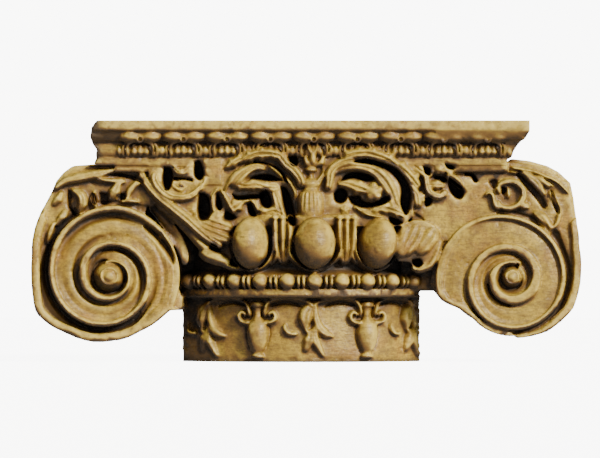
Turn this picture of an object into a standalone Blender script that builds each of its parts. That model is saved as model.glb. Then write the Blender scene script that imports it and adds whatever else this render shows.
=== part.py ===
"""Plaster cast of the front of an Ionic capital with vases, eggs and acanthus scrolls.

One solid: a flat-backed half drum (neck, astragal, row of eggs), a frieze and a moulded
abacus above it, and a hanging volute at each side. Lengths are millimetres until a point
is placed, angles are degrees. Across runs to the right, up is up, and out is the distance
in front of the surface that a carving lies on.
"""
import bmesh
import bpy
from math import atan2, cos, hypot, pi, radians, sin
from mathutils import Matrix, Vector

MM = 0.001

# The column that the capital was made for, and how the cast is cut from it
AXIS_X = -5.0             # column axis, from the middle of the whole width
BACK_REACH = 70.0         # flat back, in front of the column axis
FRONT_REACH = 200.0       # front of the eggs, which is the front of the cast
CUT_HALF_WIDTH = 118.5    # straight-cut sides of neck and astragal
AXIS_Y = (FRONT_REACH + BACK_REACH) / 2

# Heights of the courses, from the underside up
NECK_HEIGHT = 65.0
FILLET_HEIGHT = 8.0
ASTRAGAL_HEIGHT = 16.0
EGG_COURSE_HEIGHT = 55.0
FRIEZE_HEIGHT = 46.0
BORDER_HEIGHT = 6.5
ABACUS_FILLET_HEIGHT = 7.5
CYMA_HEIGHT = 26.5
TOP_FILLET_HEIGHT = 10.5

# Radii of the turned courses
NECK_RADIUS = 148.0
FILLET_RADIUS = 157.0
BEAD_RING_RADIUS = 170.0
EGG_BED_RADIUS = 161.0
EGG_LEDGE_RADIUS = 172.0
LEDGE_LAP = 3.0

# Bead and reel
BEAD_RADIUS = 7.2
BEAD_STEP = 9.2
BEAD_COUNT = 10
REEL_RADIUS = 5.6
REEL_LENGTH = 2.6
REEL_GAP = 2.0

# Eggs, darts and the ornaments of the neck share one bay
BAY = 21.4
BAY_START = 4.6
EGG_HALF_WIDTH = 19.0
EGG_HALF_HEIGHT = 25.5
EGG_RING_RADIUS = 173.0
SHELL_WIDTH = 3.6
SHELL_GAP = 4.0
DART_HALF_WIDTH = 10.5
DART_RISE = 17.0

# Flat faces, as distances in front of the column axis
FRIEZE_REACH = 143.0
VOLUTE_REACH = 156.0
BORDER_REACH = 158.0
ABACUS_REACH = 160.0
WEB_REACH = 112.0

# Volutes: centre of each from the column axis and the underside
LEFT_VOLUTE_X = -192.5
LEFT_VOLUTE_Z = 85.5
RIGHT_VOLUTE_X = 205.8
RIGHT_VOLUTE_Z = 80.0
VOLUTE_RADIUS = 68.0      # first turn at its top
VOLUTE_SHRINK = 0.53      # radius left after each turn
WHORL_START = -0.48       # turns after the top
WHORL_END = 1.95
STEPS_IN_TURN = 48
WHORL_REACH = 72.0        # farthest that the first turn goes from the centre
WHORL_FILLET = 4.4
WHORL_RISE = 2.6
WHORL_LIFT = 2.2          # how much prouder each turn stands
GROOVE_WIDTH = 6.0
GROOVE_DEPTH = 8.0
EYE_RADIUS = 14.0
EYE_GAP = 3.0
EYE_RISE = 5.0
BUTTON_RADIUS = 8.5
RIM_WIDTH = 9.0
RIM_START = 0.16          # turns after the top
RIM_END = 0.6
EDGE_INSET = 0.5

# Abacus ends, from the column axis
ABACUS_LEFT = -206.0
ABACUS_RIGHT = 209.5
TOP_PROJECTION = 18.0
LEAF_STEP = 43.3
LEAF_BAYS = 9
FIRST_EYELET = -160.5

# Carving on the frieze
SCROLL_RISE = 24.0
STEM_SINK = 4.0

# Fusing the clay into one cast
LAP = 2.5                 # clay left over at flat cuts, before they are trimmed
GRAIN = 1.5               # size of the grid that fuses the clay
FACETS = 9400             # triangles of the finished solid

FILLET_Z = NECK_HEIGHT
ASTRAGAL_Z = FILLET_Z + FILLET_HEIGHT
EGG_COURSE_Z = ASTRAGAL_Z + ASTRAGAL_HEIGHT
FRIEZE_Z = EGG_COURSE_Z + EGG_COURSE_HEIGHT
BORDER_Z = FRIEZE_Z + FRIEZE_HEIGHT
ABACUS_Z = BORDER_Z + BORDER_HEIGHT
CYMA_Z = ABACUS_Z + ABACUS_FILLET_HEIGHT
TOP_FILLET_Z = CYMA_Z + CYMA_HEIGHT
TOP_Z = TOP_FILLET_Z + TOP_FILLET_HEIGHT


def clear_scene():
    for thing in list(bpy.data.objects):
        bpy.data.objects.remove(thing, do_unlink=True)


def new_collection(name):
    made = bpy.data.collections.new(name)
    bpy.context.scene.collection.children.link(made)
    return made


clear_scene()
CAPITAL = new_collection("capital")
CUTTERS = new_collection("cutters")

# The clay before it is fused: closed solids that overlap. What is on the round courses
# stops at their straight-cut sides.
ROUND_CLAY = bmesh.new()
FACE_CLAY = bmesh.new()


def add_clay(mesh, clay):
    """Add a closed solid to the clay."""
    shape = bmesh.new()
    shape.from_mesh(mesh)
    bpy.data.meshes.remove(mesh)
    bmesh.ops.remove_doubles(shape, verts=shape.verts, dist=1e-6)
    bmesh.ops.recalc_face_normals(shape, faces=shape.faces)
    if clay is ROUND_CLAY:
        for side in (-1, 1):
            cut_flat(shape, Vector((AXIS_X + side * CUT_HALF_WIDTH, 0, 0)) * MM,
                     Vector((side, 0, 0)))
        cut_flat(shape, Vector((0, AXIS_Y - BACK_REACH + LAP, 0)) * MM, Vector((0, 1, 0)))
    finished = bpy.data.meshes.new("piece")
    shape.to_mesh(finished)
    shape.free()
    clay.from_mesh(finished)
    bpy.data.meshes.remove(finished)


def cut_flat(shape, point, outward):
    """Cut a solid at a plane and close the cut."""
    everything = shape.verts[:] + shape.edges[:] + shape.faces[:]
    cut = bmesh.ops.bisect_plane(shape, geom=everything, plane_co=point, plane_no=outward,
                                 clear_outer=True)["geom_cut"]
    edges = [e for e in cut if isinstance(e, bmesh.types.BMEdge)]
    if edges:
        bmesh.ops.edgeloop_fill(shape, edges=edges)


# Places on the capital

def on_face(reach, x=0.0, z=0.0, side=1):
    """Places on a flat face: across and up from a point, out of the face."""
    def place(across, up, out):
        return Vector((AXIS_X + x + side * across, AXIS_Y - reach - out, z + up)) * MM
    return place


def on_drum(radius, angle, z=0.0, side=1):
    """Places on a round course: across along its curve from an angle, up, out of it."""
    def place(across, up, out):
        turn = radians(angle) + side * across / radius
        far = radius + out
        return Vector((AXIS_X + far * sin(turn), AXIS_Y - far * cos(turn), z + up)) * MM
    return place


# Lines

def smooth(points, steps=3):
    """A rounded line through hand-set points (Catmull-Rom)."""
    knots = [Vector(p) for p in points]
    knots = [2 * knots[0] - knots[1]] + knots + [2 * knots[-1] - knots[-2]]
    line = []
    for a, b, c, d in zip(knots, knots[1:], knots[2:], knots[3:]):
        for i in range(steps):
            t = i / steps
            line.append(0.5 * (2 * b + (c - a) * t + (2 * a - 5 * b + 4 * c - d) * t * t
                               + (3 * b - a - 3 * c + d) * t ** 3))
    line.append(knots[-2])
    return line


def ellipse_line(half_width, half_height, start, end, steps):
    """Part of an ellipse, angles counted from the right."""
    angles = [radians(start + (end - start) * i / steps) for i in range(steps + 1)]
    return [Vector((half_width * cos(a), half_height * sin(a))) for a in angles]


# Solids

def loft(name, rings, clay):
    """A closed solid through rings of points, with flat ends."""
    shape = bmesh.new()
    rows = [[shape.verts.new(p) for p in ring] for ring in rings]
    for row, following in zip(rows, rows[1:]):
        for i, corner in enumerate(row):
            j = (i + 1) % len(row)
            shape.faces.new((corner, row[j], following[j], following[i]))
    shape.faces.new(list(reversed(rows[0])))
    shape.faces.new(rows[-1])
    mesh = bpy.data.meshes.new(name)
    shape.to_mesh(mesh)
    shape.free()
    add_clay(mesh, clay)


ROUND_SECTION = ((-1, 0.45), (-0.55, 0.88), (0, 1), (0.55, 0.88), (1, 0.45))
LEAF_SECTION = ((-1, 0.3), (-0.5, 1), (0, 0.55), (0.5, 1), (1, 0.3))
RIB_SECTION = ((-1, 0.5), (0, 1), (1, 0.5))
FLAT_SECTION = ((-1, 0.8), (-0.6, 1), (0.6, 1), (1, 0.8))


def ridge(name, place, line, half_width, rise, clay, section=RIB_SECTION,
          sink=STEM_SINK, lobes=0):
    """A raised band along a line. Widths and rises are given at its start, middle and end."""
    rings = []
    last = len(line) - 1
    for i, point in enumerate(line):
        t = i / last
        along = (line[min(i + 1, last)] - line[max(i - 1, 0)]).normalized()
        across = Vector((-along.y, along.x))
        width = blend(half_width, t)
        if lobes:
            width *= 0.72 + 0.28 * abs(cos(pi * lobes * t))
        height = blend(rise, t)
        ring = [place(*(point - across * width), -sink)]
        ring += [place(*(point + across * width * u), height * v) for u, v in section]
        ring += [place(*(point + across * width), -sink)]
        rings.append(ring)
    loft(name, rings, clay)


def blend(values, t):
    """Read three values, at the start, middle and end, at t from 0 to 1."""
    first, middle, end = values
    if t < 0.5:
        return first + (middle - first) * 2 * t
    return middle + (end - middle) * (2 * t - 1)


def stand(place, across=0, up=0, out=0):
    """The turn and place of a solid that stands on a surface, facing out of it."""
    origin = place(across, up, out)
    front = (place(across, up, out + 1) - origin).normalized()
    side = Vector((0, 0, 1)).cross(front)
    turn = Matrix((side, front, Vector((0, 0, 1)))).transposed().to_4x4()
    return Matrix.Translation(origin) @ turn


def turned(name, profile, place, clay, segments=24, depth=1.0):
    """A turned solid. The profile is (radius, height), from the top."""
    mesh = bpy.data.meshes.new(name)
    points = [(0.0, profile[0][1])] + list(profile) + [(0.0, profile[-1][1])]
    edges = [(i, i + 1) for i in range(len(points) - 1)]
    mesh.from_pydata([(r * MM, 0, h * MM) for r, h in points], edges, [])
    made = bpy.data.objects.new(name, mesh)
    CAPITAL.objects.link(made)
    screw = made.modifiers.new("turn", 'SCREW')
    screw.steps = segments
    screw.render_steps = segments
    screw.use_merge_vertices = True
    screw.merge_threshold = 1e-6
    flat = as_mesh(made)
    flat.transform(stand(place) @ Matrix.Diagonal((1, depth, 1, 1)))
    add_clay(flat, clay)


def as_mesh(made):
    """The evaluated mesh of an object, which is then removed."""
    graph = bpy.context.evaluated_depsgraph_get()
    flat = bpy.data.meshes.new_from_object(made.evaluated_get(graph))
    flat.transform(made.matrix_world)
    bpy.data.objects.remove(made, do_unlink=True)
    return flat


def knob(name, place, across, up, out, sizes, clay, lean=0.0):
    """An ellipsoid: an egg, a bead or a bud. Sizes are half width, half depth, half height."""
    mesh = bpy.data.meshes.new(name)
    shape = bmesh.new()
    bmesh.ops.create_uvsphere(shape, u_segments=24, v_segments=16, radius=MM)
    bmesh.ops.transform(shape, verts=shape.verts,
                        matrix=stand(place, across, up, out)
                        @ Matrix.Rotation(radians(lean), 4, 'Y')
                        @ Matrix.Diagonal((*sizes, 1)))
    shape.to_mesh(mesh)
    shape.free()
    add_clay(mesh, clay)


def plate(name, outline, back, front, clay):
    """A flat outline with thickness, given from the column axis and the underside."""
    curve = bpy.data.curves.new(name, 'CURVE')
    curve.dimensions = '2D'
    curve.fill_mode = 'BOTH'
    curve.extrude = (front - back) / 2 * MM
    spline = curve.splines.new('POLY')
    spline.points.add(len(outline) - 1)
    for point, (x, z) in zip(spline.points, outline):
        point.co = ((AXIS_X + x) * MM, z * MM, 0, 1)
    spline.use_cyclic_u = True
    made = bpy.data.objects.new(name, curve)
    made.rotation_euler = (pi / 2, 0, 0)
    made.location = (0, (AXIS_Y - (front + back) / 2) * MM, 0)
    CAPITAL.objects.link(made)
    bpy.context.view_layer.update()
    add_clay(as_mesh(made), clay)


def block(name, left, right, bottom, top, back, front, clay):
    """A squared block, given from the column axis and the underside."""
    mesh = bpy.data.meshes.new(name)
    shape = bmesh.new()
    bmesh.ops.create_cube(shape, size=1.0)
    size = Vector((right - left, front - back, top - bottom)) * MM
    centre = Vector((AXIS_X + (left + right) / 2, AXIS_Y - (back + front) / 2,
                     (bottom + top) / 2)) * MM
    bmesh.ops.transform(shape, verts=shape.verts,
                        matrix=Matrix.Translation(centre) @ Matrix.Diagonal((*size, 1)))
    shape.to_mesh(mesh)
    shape.free()
    add_clay(mesh, clay)


def reel(place, across, radius, length, clay):
    """A short round bar that lies along the course."""
    mesh = bpy.data.meshes.new("reel")
    shape = bmesh.new()
    bmesh.ops.create_cone(shape, segments=20, cap_ends=True, radius1=radius * MM,
                          radius2=radius * MM, depth=length * MM)
    bmesh.ops.transform(shape, verts=shape.verts,
                        matrix=stand(place, across) @ Matrix.Rotation(pi / 2, 4, 'Y'))
    shape.to_mesh(mesh)
    shape.free()
    add_clay(mesh, clay)


# Courses of the drum

def make_drum():
    """The turned body: neck, fillet, astragal bed and the bed of the eggs."""
    profile = (
        (EGG_LEDGE_RADIUS - 3, FRIEZE_Z + LEDGE_LAP),
        (EGG_LEDGE_RADIUS, FRIEZE_Z),
        (EGG_LEDGE_RADIUS - 2, FRIEZE_Z - 8),
        (EGG_BED_RADIUS + 2, EGG_COURSE_Z + 18),
        (EGG_BED_RADIUS, EGG_COURSE_Z),
        (BEAD_RING_RADIUS - 4, EGG_COURSE_Z - 3),
        (BEAD_RING_RADIUS - 4, ASTRAGAL_Z + 4),
        (FILLET_RADIUS + 2, ASTRAGAL_Z + 1),
        (FILLET_RADIUS, ASTRAGAL_Z - 1),
        (FILLET_RADIUS, FILLET_Z),
        (NECK_RADIUS + 1.5, FILLET_Z - 1.5),
        (NECK_RADIUS, FILLET_Z - 8),
        (NECK_RADIUS, -LAP),
    )
    turned("drum", profile, on_face(0), ROUND_CLAY, 180)


def make_astragal():
    """Beads in a ring, with a pair of thin reels between each two."""
    level = ASTRAGAL_Z + ASTRAGAL_HEIGHT / 2
    first = -BEAD_STEP * (BEAD_COUNT - 1) / 2
    bead = (BEAD_RADIUS, BEAD_RADIUS, BEAD_RADIUS)
    for i in range(BEAD_COUNT):
        place = on_drum(BEAD_RING_RADIUS, first + i * BEAD_STEP, level)
        knob("bead", place, 0, 0, 0, bead, ROUND_CLAY)
        if i < BEAD_COUNT - 1:
            between = on_drum(BEAD_RING_RADIUS, first + (i + 0.5) * BEAD_STEP, level)
            for side in (-1, 1):
                reel(between, side * (REEL_LENGTH + REEL_GAP) / 2, REEL_RADIUS, REEL_LENGTH,
                     ROUND_CLAY)


def make_eggs():
    """Three eggs, each in an open shell."""
    level = EGG_COURSE_Z + EGG_COURSE_HEIGHT / 2 + 2.5
    depth = FRONT_REACH - EGG_RING_RADIUS
    leans = (0, 0, 9)
    for k, lean in zip((-1, 0, 1), leans):
        place = on_drum(EGG_RING_RADIUS, BAY_START + k * BAY, level)
        wide = EGG_HALF_WIDTH * (1.08 if k == 0 else 0.94)
        knob("egg", place, 0, 0, 0, (wide, depth, EGG_HALF_HEIGHT), ROUND_CLAY, lean)
        line = ellipse_line(wide + SHELL_GAP, EGG_HALF_HEIGHT + SHELL_GAP / 2, 25, -205, 28)
        ridge("shell", on_drum(EGG_BED_RADIUS + 4, BAY_START + k * BAY, level), line,
              (SHELL_WIDTH / 2,) * 3, (17, 13, 17), ROUND_CLAY)


def make_darts():
    """Three-ribbed darts between the eggs."""
    for k in (-0.5, 0.5):
        place = on_drum(EGG_BED_RADIUS + 2, BAY_START + k * BAY, FRIEZE_Z)
        for rib in (-1, 0, 1):
            start = rib * DART_HALF_WIDTH * 0.68
            line = smooth(((start, -1), (start, -18), (start * 0.75, -34),
                           (start * 0.25, -EGG_COURSE_HEIGHT + 5)), 4)
            wide = DART_HALF_WIDTH * 0.33
            ridge("dart", place, line, (wide, wide, wide * 0.4),
                  (DART_RISE, DART_RISE, DART_RISE * 0.5), ROUND_CLAY)


# Ornament of the neck

def neck_vase(k):
    """A two-handled vase, with tendrils that arch away from it to the leaves."""
    angle = BAY_START + k * BAY
    profile = ((6, 58), (6, 56), (3.8, 54), (3.8, 46), (8, 41), (10.5, 32), (8.5, 20),
               (4, 10), (6, 8), (6, 4))
    turned("neck vase", profile, on_drum(NECK_RADIUS, angle), ROUND_CLAY, 24, 0.8)
    bay_length = radians(BAY) * NECK_RADIUS
    for side in (-1, 1):
        place = on_drum(NECK_RADIUS, angle, 0, side)
        arch = smooth(((bay_length, 56), (bay_length - 9, 61.5), (28, 64), (13, 60.5),
                       (7.5, 50)), 5)
        ridge("tendril", place, arch, (1.6, 1.8, 1.6), (4.5, 5, 5), ROUND_CLAY)
        curl = smooth(((7, 42), (12.5, 39.5), (18, 43.5), (17, 49.5), (12.5, 48)), 5)
        ridge("handle curl", place, curl, (2, 1.8, 1.4), (5, 4.5, 4), ROUND_CLAY)


def neck_leaves(k):
    """Leaves that hang from the point where two tendrils meet."""
    place = on_drum(NECK_RADIUS, BAY_START + k * BAY)
    knob("leaf node", place, 0, 57, 0, (4, 4.5, 4), ROUND_CLAY)
    leaves = (
        (((-1, 56), (-7, 46), (-10, 36), (-15, 27)), (3, 6.5, 1.5)),
        (((1, 56), (3, 42), (9, 30), (21, 26)), (2, 5, 1.2)),
        (((-3, 30), (-7, 18), (-12, 6)), (2, 5, 2)),
        (((-1, 34), (4, 18), (11, 5)), (1.5, 4, 1.5)),
        (((-28, 38), (-25, 30), (-15, 28)), (1.2, 2, 1.5)),
    )
    for points, widths in leaves:
        ridge("hanging leaf", place, smooth(points, 5), widths, (3, 5.5, 3.5), ROUND_CLAY)


# Volutes

def left_outline():
    """Outer edge of the left volute plate, from the abacus round to the neck."""
    return ((-10.5, 118.5), (-31.5, 111.5), (-44.9, 103.5), (-54.6, 90.5), (-63.8, 70.5),
            (-71.3, 54.5), (-75.5, 31.5), (-77, 1.5), (-75.5, -23.5), (-70.1, -38.5),
            (-59.8, -47.5), (-42.5, -56.5), (-23.5, -63.5), (-5.8, -65.5), (11.5, -63.5),
            (32, -54.5), (55, -39.5), (72.2, -32.5))


def right_outline():
    """Outer edge of the right volute plate, from the abacus round to its inner side."""
    return ((4.7, 123), (22.2, 121), (39.9, 116), (51.2, 110), (63.2, 99), (66.2, 84),
            (69.2, 60.5), (72.2, 36), (74.2, 11), (71.2, -11), (66.2, -26), (54.2, -39),
            (39.9, -49.5), (25.2, -54), (10.2, -56), (-4.1, -47), (-30.8, -38),
            (-48.1, -26), (-64.3, -19), (-73.1, -8), (-76.8, 4), (-77, 40), (-84, 52))


def make_volute_plate(name, x, z, outline, inner_x):
    """The thick plate that a volute is carved on."""
    points = [(x + a, z + u) for a, u in outline]
    points += [(inner_x, points[-1][1]), (inner_x, ABACUS_Z + 3), (x, ABACUS_Z + 3)]
    plate(name, points, BACK_REACH - LAP, VOLUTE_REACH - GROOVE_DEPTH, FACE_CLAY)


def turn_of(point, hand):
    """Where a point lies round its volute, in turns after the top."""
    return (hand * (atan2(point[1], point[0]) / (2 * pi) - 0.25)) % 1


def edge_radius(outline, hand, turn):
    """How far the plate's edge is from the volute's centre, at a turn after the top."""
    turn %= 1
    for a, b in zip(outline, outline[1:]):
        first = turn_of(a, hand)
        second = turn_of(b, hand)
        if first <= turn <= second:
            share = (turn - first) / (second - first)
            return hypot(*a) * (1 - share) + hypot(*b) * share
    return WHORL_REACH


def wind(floor, hand, start, end, section_at):
    """A band that winds round a volute. Its section is (distance from centre, height)."""
    count = round((end - start) * STEPS_IN_TURN)
    rings = []
    for i in range(count + 1):
        turn = start + (end - start) * i / count
        angle = 2 * pi * (0.25 + hand * turn)
        rings.append([floor(far * cos(angle), far * sin(angle), out)
                      for far, out in section_at(turn)])
    loft("winding band", rings, FACE_CLAY)


def make_volute(x, z, hand, outline, eye_shift):
    """One volute: a winding band with a raised outer fillet, its rim, and the eye."""
    floor = on_face(VOLUTE_REACH - GROOVE_DEPTH, x, z)

    def whorl(turn):
        outer = min(VOLUTE_RADIUS * VOLUTE_SHRINK ** turn, WHORL_REACH)
        if turn < 0:
            outer = min(outer, edge_radius(outline, hand, turn) - EDGE_INSET)
        inner = max(VOLUTE_RADIUS * VOLUTE_SHRINK ** (turn + 1) + GROOVE_WIDTH,
                    EYE_RADIUS + EYE_GAP)
        inner = min(inner, outer - WHORL_FILLET)
        face = GROOVE_DEPTH + WHORL_LIFT * turn
        shoulder = outer - WHORL_FILLET
        return ((outer, -STEM_SINK), (outer, face + WHORL_RISE), (shoulder, face + WHORL_RISE),
                (shoulder - 0.3 * (shoulder - inner), face),
                (inner + 0.3 * (shoulder - inner), face), (inner, face - 2),
                (inner, -STEM_SINK))

    def rim(turn):
        outer = edge_radius(outline, hand, turn) - EDGE_INSET
        inner = outer - RIM_WIDTH
        return ((outer, -STEM_SINK), (outer, GROOVE_DEPTH - 2), (outer - 2, GROOVE_DEPTH),
                (inner + 2, GROOVE_DEPTH), (inner, GROOVE_DEPTH - 2), (inner, -STEM_SINK))

    wind(floor, hand, WHORL_START, WHORL_END, whorl)
    wind(floor, hand, RIM_START, RIM_END, rim)
    top = GROOVE_DEPTH + WHORL_LIFT * WHORL_END + EYE_RISE
    knob("eye", floor, *eye_shift, 0, (EYE_RADIUS, top, EYE_RADIUS), FACE_CLAY)
    knob("eye button", floor, *eye_shift, top - 2, (BUTTON_RADIUS, 4, BUTTON_RADIUS), FACE_CLAY)


# Abacus

def abacus_profile():
    """How far each level of the abacus stands out from its lower fillet."""
    cyma = CYMA_HEIGHT
    full = TOP_PROJECTION
    return ((ABACUS_Z, 0), (CYMA_Z, 0), (CYMA_Z + 0.02 * cyma, -0.1 * full),
            (CYMA_Z + 0.4 * cyma, 0.04 * full), (CYMA_Z + 0.62 * cyma, 0.16 * full),
            (CYMA_Z + 0.66 * cyma, 0.42 * full), (CYMA_Z + 0.84 * cyma, 0.68 * full),
            (CYMA_Z + 0.98 * cyma, 0.7 * full), (TOP_FILLET_Z, 0.93 * full), (TOP_Z + LAP, full))


def make_abacus():
    """The moulded slab. Its profile returns on the right, and its left end is broken."""
    broken = (2, 3, 5, 1, -2, -1, -3, -3, -1, 4)
    back = AXIS_Y - BACK_REACH + LAP
    rings = []
    for (level, out), rough in zip(abacus_profile(), broken):
        front = AXIS_Y - ABACUS_REACH - out
        left = AXIS_X + ABACUS_LEFT + rough
        right = AXIS_X + ABACUS_RIGHT + out
        rings.append([Vector((x, y, level)) * MM for x, y in
                      ((left, back), (left + 3, front + 4), (left + 7, front), (right, front),
                       (right, back))])
    loft("abacus", rings, FACE_CLAY)


def make_leaf_and_dart():
    """Heart-shaped leaves low on the cyma, with rounded lobes above and between them."""
    low = on_face(ABACUS_REACH, 0, CYMA_Z)
    cyma = CYMA_HEIGHT
    for i in range(LEAF_BAYS):
        middle = FIRST_EYELET + i * LEAF_STEP
        arch = [Vector((middle + a, u * cyma)) for a, u in
                ((-13, 0.04), (-13, 0.38), (-8, 0.6), (0, 0.68), (8, 0.6), (13, 0.38),
                 (13, 0.04))]
        ridge("heart leaf", low, arch, (1.5, 1.5, 1.5), (2.5, 6, 2.5), FACE_CLAY)
        heart = smooth(((middle, 0.02 * cyma), (middle, 0.5 * cyma)), 4)
        ridge("leaf middle", low, heart, (6, 5, 2), (2, 3.5, 5), FACE_CLAY)
        for side in (-1, 1):
            knob("lobe", low, middle + side * LEAF_STEP / 4, 0.78 * cyma, 8,
                 (LEAF_STEP * 0.2, 7, 5.4), FACE_CLAY)


# Frieze

def make_ground():
    """Flat ground of the frieze, its border band, and webs between drum and volutes."""
    half = CUT_HALF_WIDTH
    block("frieze ground", LEFT_VOLUTE_X, RIGHT_VOLUTE_X - 12, FRIEZE_Z - 6, CYMA_Z - 3,
          BACK_REACH - LAP, FRIEZE_REACH, FACE_CLAY)
    block("border band", LEFT_VOLUTE_X + 8, RIGHT_VOLUTE_X, BORDER_Z, ABACUS_Z + 2,
          BACK_REACH - LAP, BORDER_REACH, FACE_CLAY)
    for name, inner, outer in (("left web", -half - 22, -half + 12),
                               ("right web", half - 12, half + 22)):
        block(name, inner, outer, FILLET_Z + 6, FRIEZE_Z + 10, BACK_REACH - LAP, WEB_REACH,
              FACE_CLAY)


def make_central_vase():
    """The fluted vase over the middle egg, with a bud for a finial."""
    profile = ((1, 68), (3.8, 63), (4.2, 57), (2, 51), (3.4, 45), (2.2, 41), (7.8, 37),
               (6.2, 32), (5.5, 29), (8.6, 26), (8.2, 14), (11, 5), (9, 1), (8, -3))
    turned("central vase", profile, on_face(FRIEZE_REACH + 14, 9.5, FRIEZE_Z), FACE_CLAY, 24,
           1.25)


def carve(strokes, place, scale, section):
    for points, widths, rises, lobes in strokes:
        lifts = tuple(scale * r for r in rises)
        ridge("carved", place, smooth(points, 6), widths, lifts, FACE_CLAY, section, STEM_SINK,
              lobes)


# Each stroke: points across and up, half widths, rises as shares, number of leaf lobes

LEFT_STEMS = (
    (((-2, 22), (-1, 37), (-7, 47), (-15, 54), (-23, 62)), (4, 4.5, 4), (1, 1, 1), 0),
    (((-8, 15), (-6, 25), (-13, 37), (-24, 46), (-35, 54)), (2, 3, 1.5), (0.9, 1, 0.9), 0),
    (((-35, 49), (-43, 53), (-53, 49.5), (-62, 44), (-70, 36), (-72.5, 26)), (3, 4, 4),
     (0.8, 1, 1), 0),
    (((-61, 18), (-51.5, 21), (-45, 14), (-43, 4)), (2.5, 3.2, 2), (0.9, 1, 0.9), 0),
    (((-83, 31), (-89, 20), (-88, 10), (-84, 4)), (2, 3.2, 2.5), (0.6, 0.8, 0.9), 0),
    (((-83, 31), (-77, 20), (-70, 4)), (2, 3.2, 3), (0.6, 0.9, 1), 0),
    (((-24, 26), (-20, 12), (-16.5, -4)), (3, 3.6, 3.6), (0.8, 1, 1), 0),
    (((-144, 46), (-146, 38), (-141, 29), (-131, 22), (-120, 20), (-110, 22), (-102, 28),
      (-95, 38), (-89, 46)), (3.4, 3.6, 3), (0.85, 0.9, 0.75), 0),
)

LEFT_LEAVES = (
    (((-20, 60), (-32, 66), (-44, 65), (-58, 59)), (4, 7, 3), (1, 1.05, 0.8), 3),
    (((-54, 58), (-63, 61), (-74, 51)), (3, 5, 2), (0.75, 0.8, 0.6), 2),
    (((-70, 28), (-59, 32), (-47, 32), (-34, 27)), (5, 6.5, 3), (0.9, 1, 0.7), 3),
    (((-28, 26), (-24, 32), (-19, 39)), (3, 4, 2), (0.6, 0.8, 0.6), 0),
    (((-76, 3), (-68, 10), (-60, 19)), (4, 6.5, 4), (0.8, 1, 0.8), 2),
    (((-37, 4), (-27, 6), (-17, 1)), (4, 6.5, 4), (0.8, 1, 0.8), 2),
    (((-128, 49), (-120, 46), (-111, 49)), (4, 5.5, 4), (0.7, 0.85, 0.7), 2),
    (((-128, 33), (-121, 31), (-115, 34)), (3, 4.5, 3), (0.6, 0.75, 0.6), 2),
    (((-108, 14), (-109, 6), (-105, -2)), (3, 6, 5), (0.6, 0.8, 0.8), 2),
)

RIGHT_STEMS = (
    (((26, 22), (28, 36), (30, 47), (40, 55), (55, 58)), (4, 4.5, 4), (1, 1, 1), 0),
    (((33, 40), (40, 49), (53, 51.5), (69, 49.5), (78, 46), (88, 38), (94, 30), (96, 20),
      (95, 11), (105, 2)), (3, 4.4, 3), (0.9, 1, 0.9), 0),
    (((43, 16), (52, 12), (60, 7), (69, 1), (85, 0)), (2.5, 3.4, 2.5), (0.9, 1, 0.9), 0),
    (((100, 41), (109, 30), (115, 23), (116, 13)), (2.5, 3.2, 3), (0.7, 0.8, 0.7), 0),
    (((124, 46), (126, 33), (130, 25), (138, 21), (146, 27)), (3, 4, 2.5), (0.7, 0.9, 0.7), 0),
    (((144, 45), (155, 38), (162, 30)), (3, 3.2, 1.5), (0.6, 0.7, 0.6), 0),
)

RIGHT_LEAVES = (
    (((44, 59), (62, 64), (82, 61), (103, 49)), (4, 6.5, 4), (1, 1.05, 0.8), 4),
    (((34, 36), (49, 31), (63, 27)), (4, 6.5, 4), (0.8, 0.95, 0.9), 2),
    (((70, 12), (87, 14), (104, 3)), (4, 5.5, 3), (0.8, 0.9, 0.8), 2),
    (((13, 52), (19, 58), (25, 64)), (2, 3.6, 1.5), (0.9, 1.1, 1), 0),
    (((6, 52), (1, 57), (-2, 63)), (2, 3.4, 1.5), (0.9, 1.1, 1), 0),
)

# Half acanthus leaves that run from the volutes down to the outer eggs
CORNER_LEAVES = (
    (((-159, 50), (-151, 32), (-139, 19), (-125, 4), (-111, -10), (-98, -26), (-86, -35),
      (-74, -33)), (5, 8, 4), (0.8, 1.1, 1.3), 0),
    (((-133, 12), (-122, -5), (-108, -28)), (3, 4, 2), (0.7, 0.9, 0.9), 0),
    (((-103, -3), (-90, -14), (-73, -20)), (7, 10, 7), (0.9, 1.1, 1.15), 2),
    (((136, -8), (120, -19), (107, -32), (100, -45)), (8, 12, 6), (0.8, 1.1, 1.1), 2),
    (((113, -52), (122, -55), (130, -50)), (3, 4, 3), (0.6, 0.8, 0.7), 0),
)

BUDS = ((-83, 2, 6.4), (-37.5, 7.5, 5), (72.5, 27, 11), (44, 7.5, 4.6), (119.5, 21, 6),
        (138.5, 32, 5.5), (139, 48, 5.5))


def make_frieze():
    """Acanthus scrolls on both sides of the vase."""
    place = on_face(FRIEZE_REACH, 0, FRIEZE_Z)
    carve(LEFT_STEMS + RIGHT_STEMS, place, SCROLL_RISE, RIB_SECTION)
    carve(LEFT_LEAVES + RIGHT_LEAVES, place, SCROLL_RISE, LEAF_SECTION)
    carve(CORNER_LEAVES, place, SCROLL_RISE, LEAF_SECTION)
    for across, up, size in BUDS:
        knob("bud", place, across, up, SCROLL_RISE * 0.62, (size, 8, size), FACE_CLAY)


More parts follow.
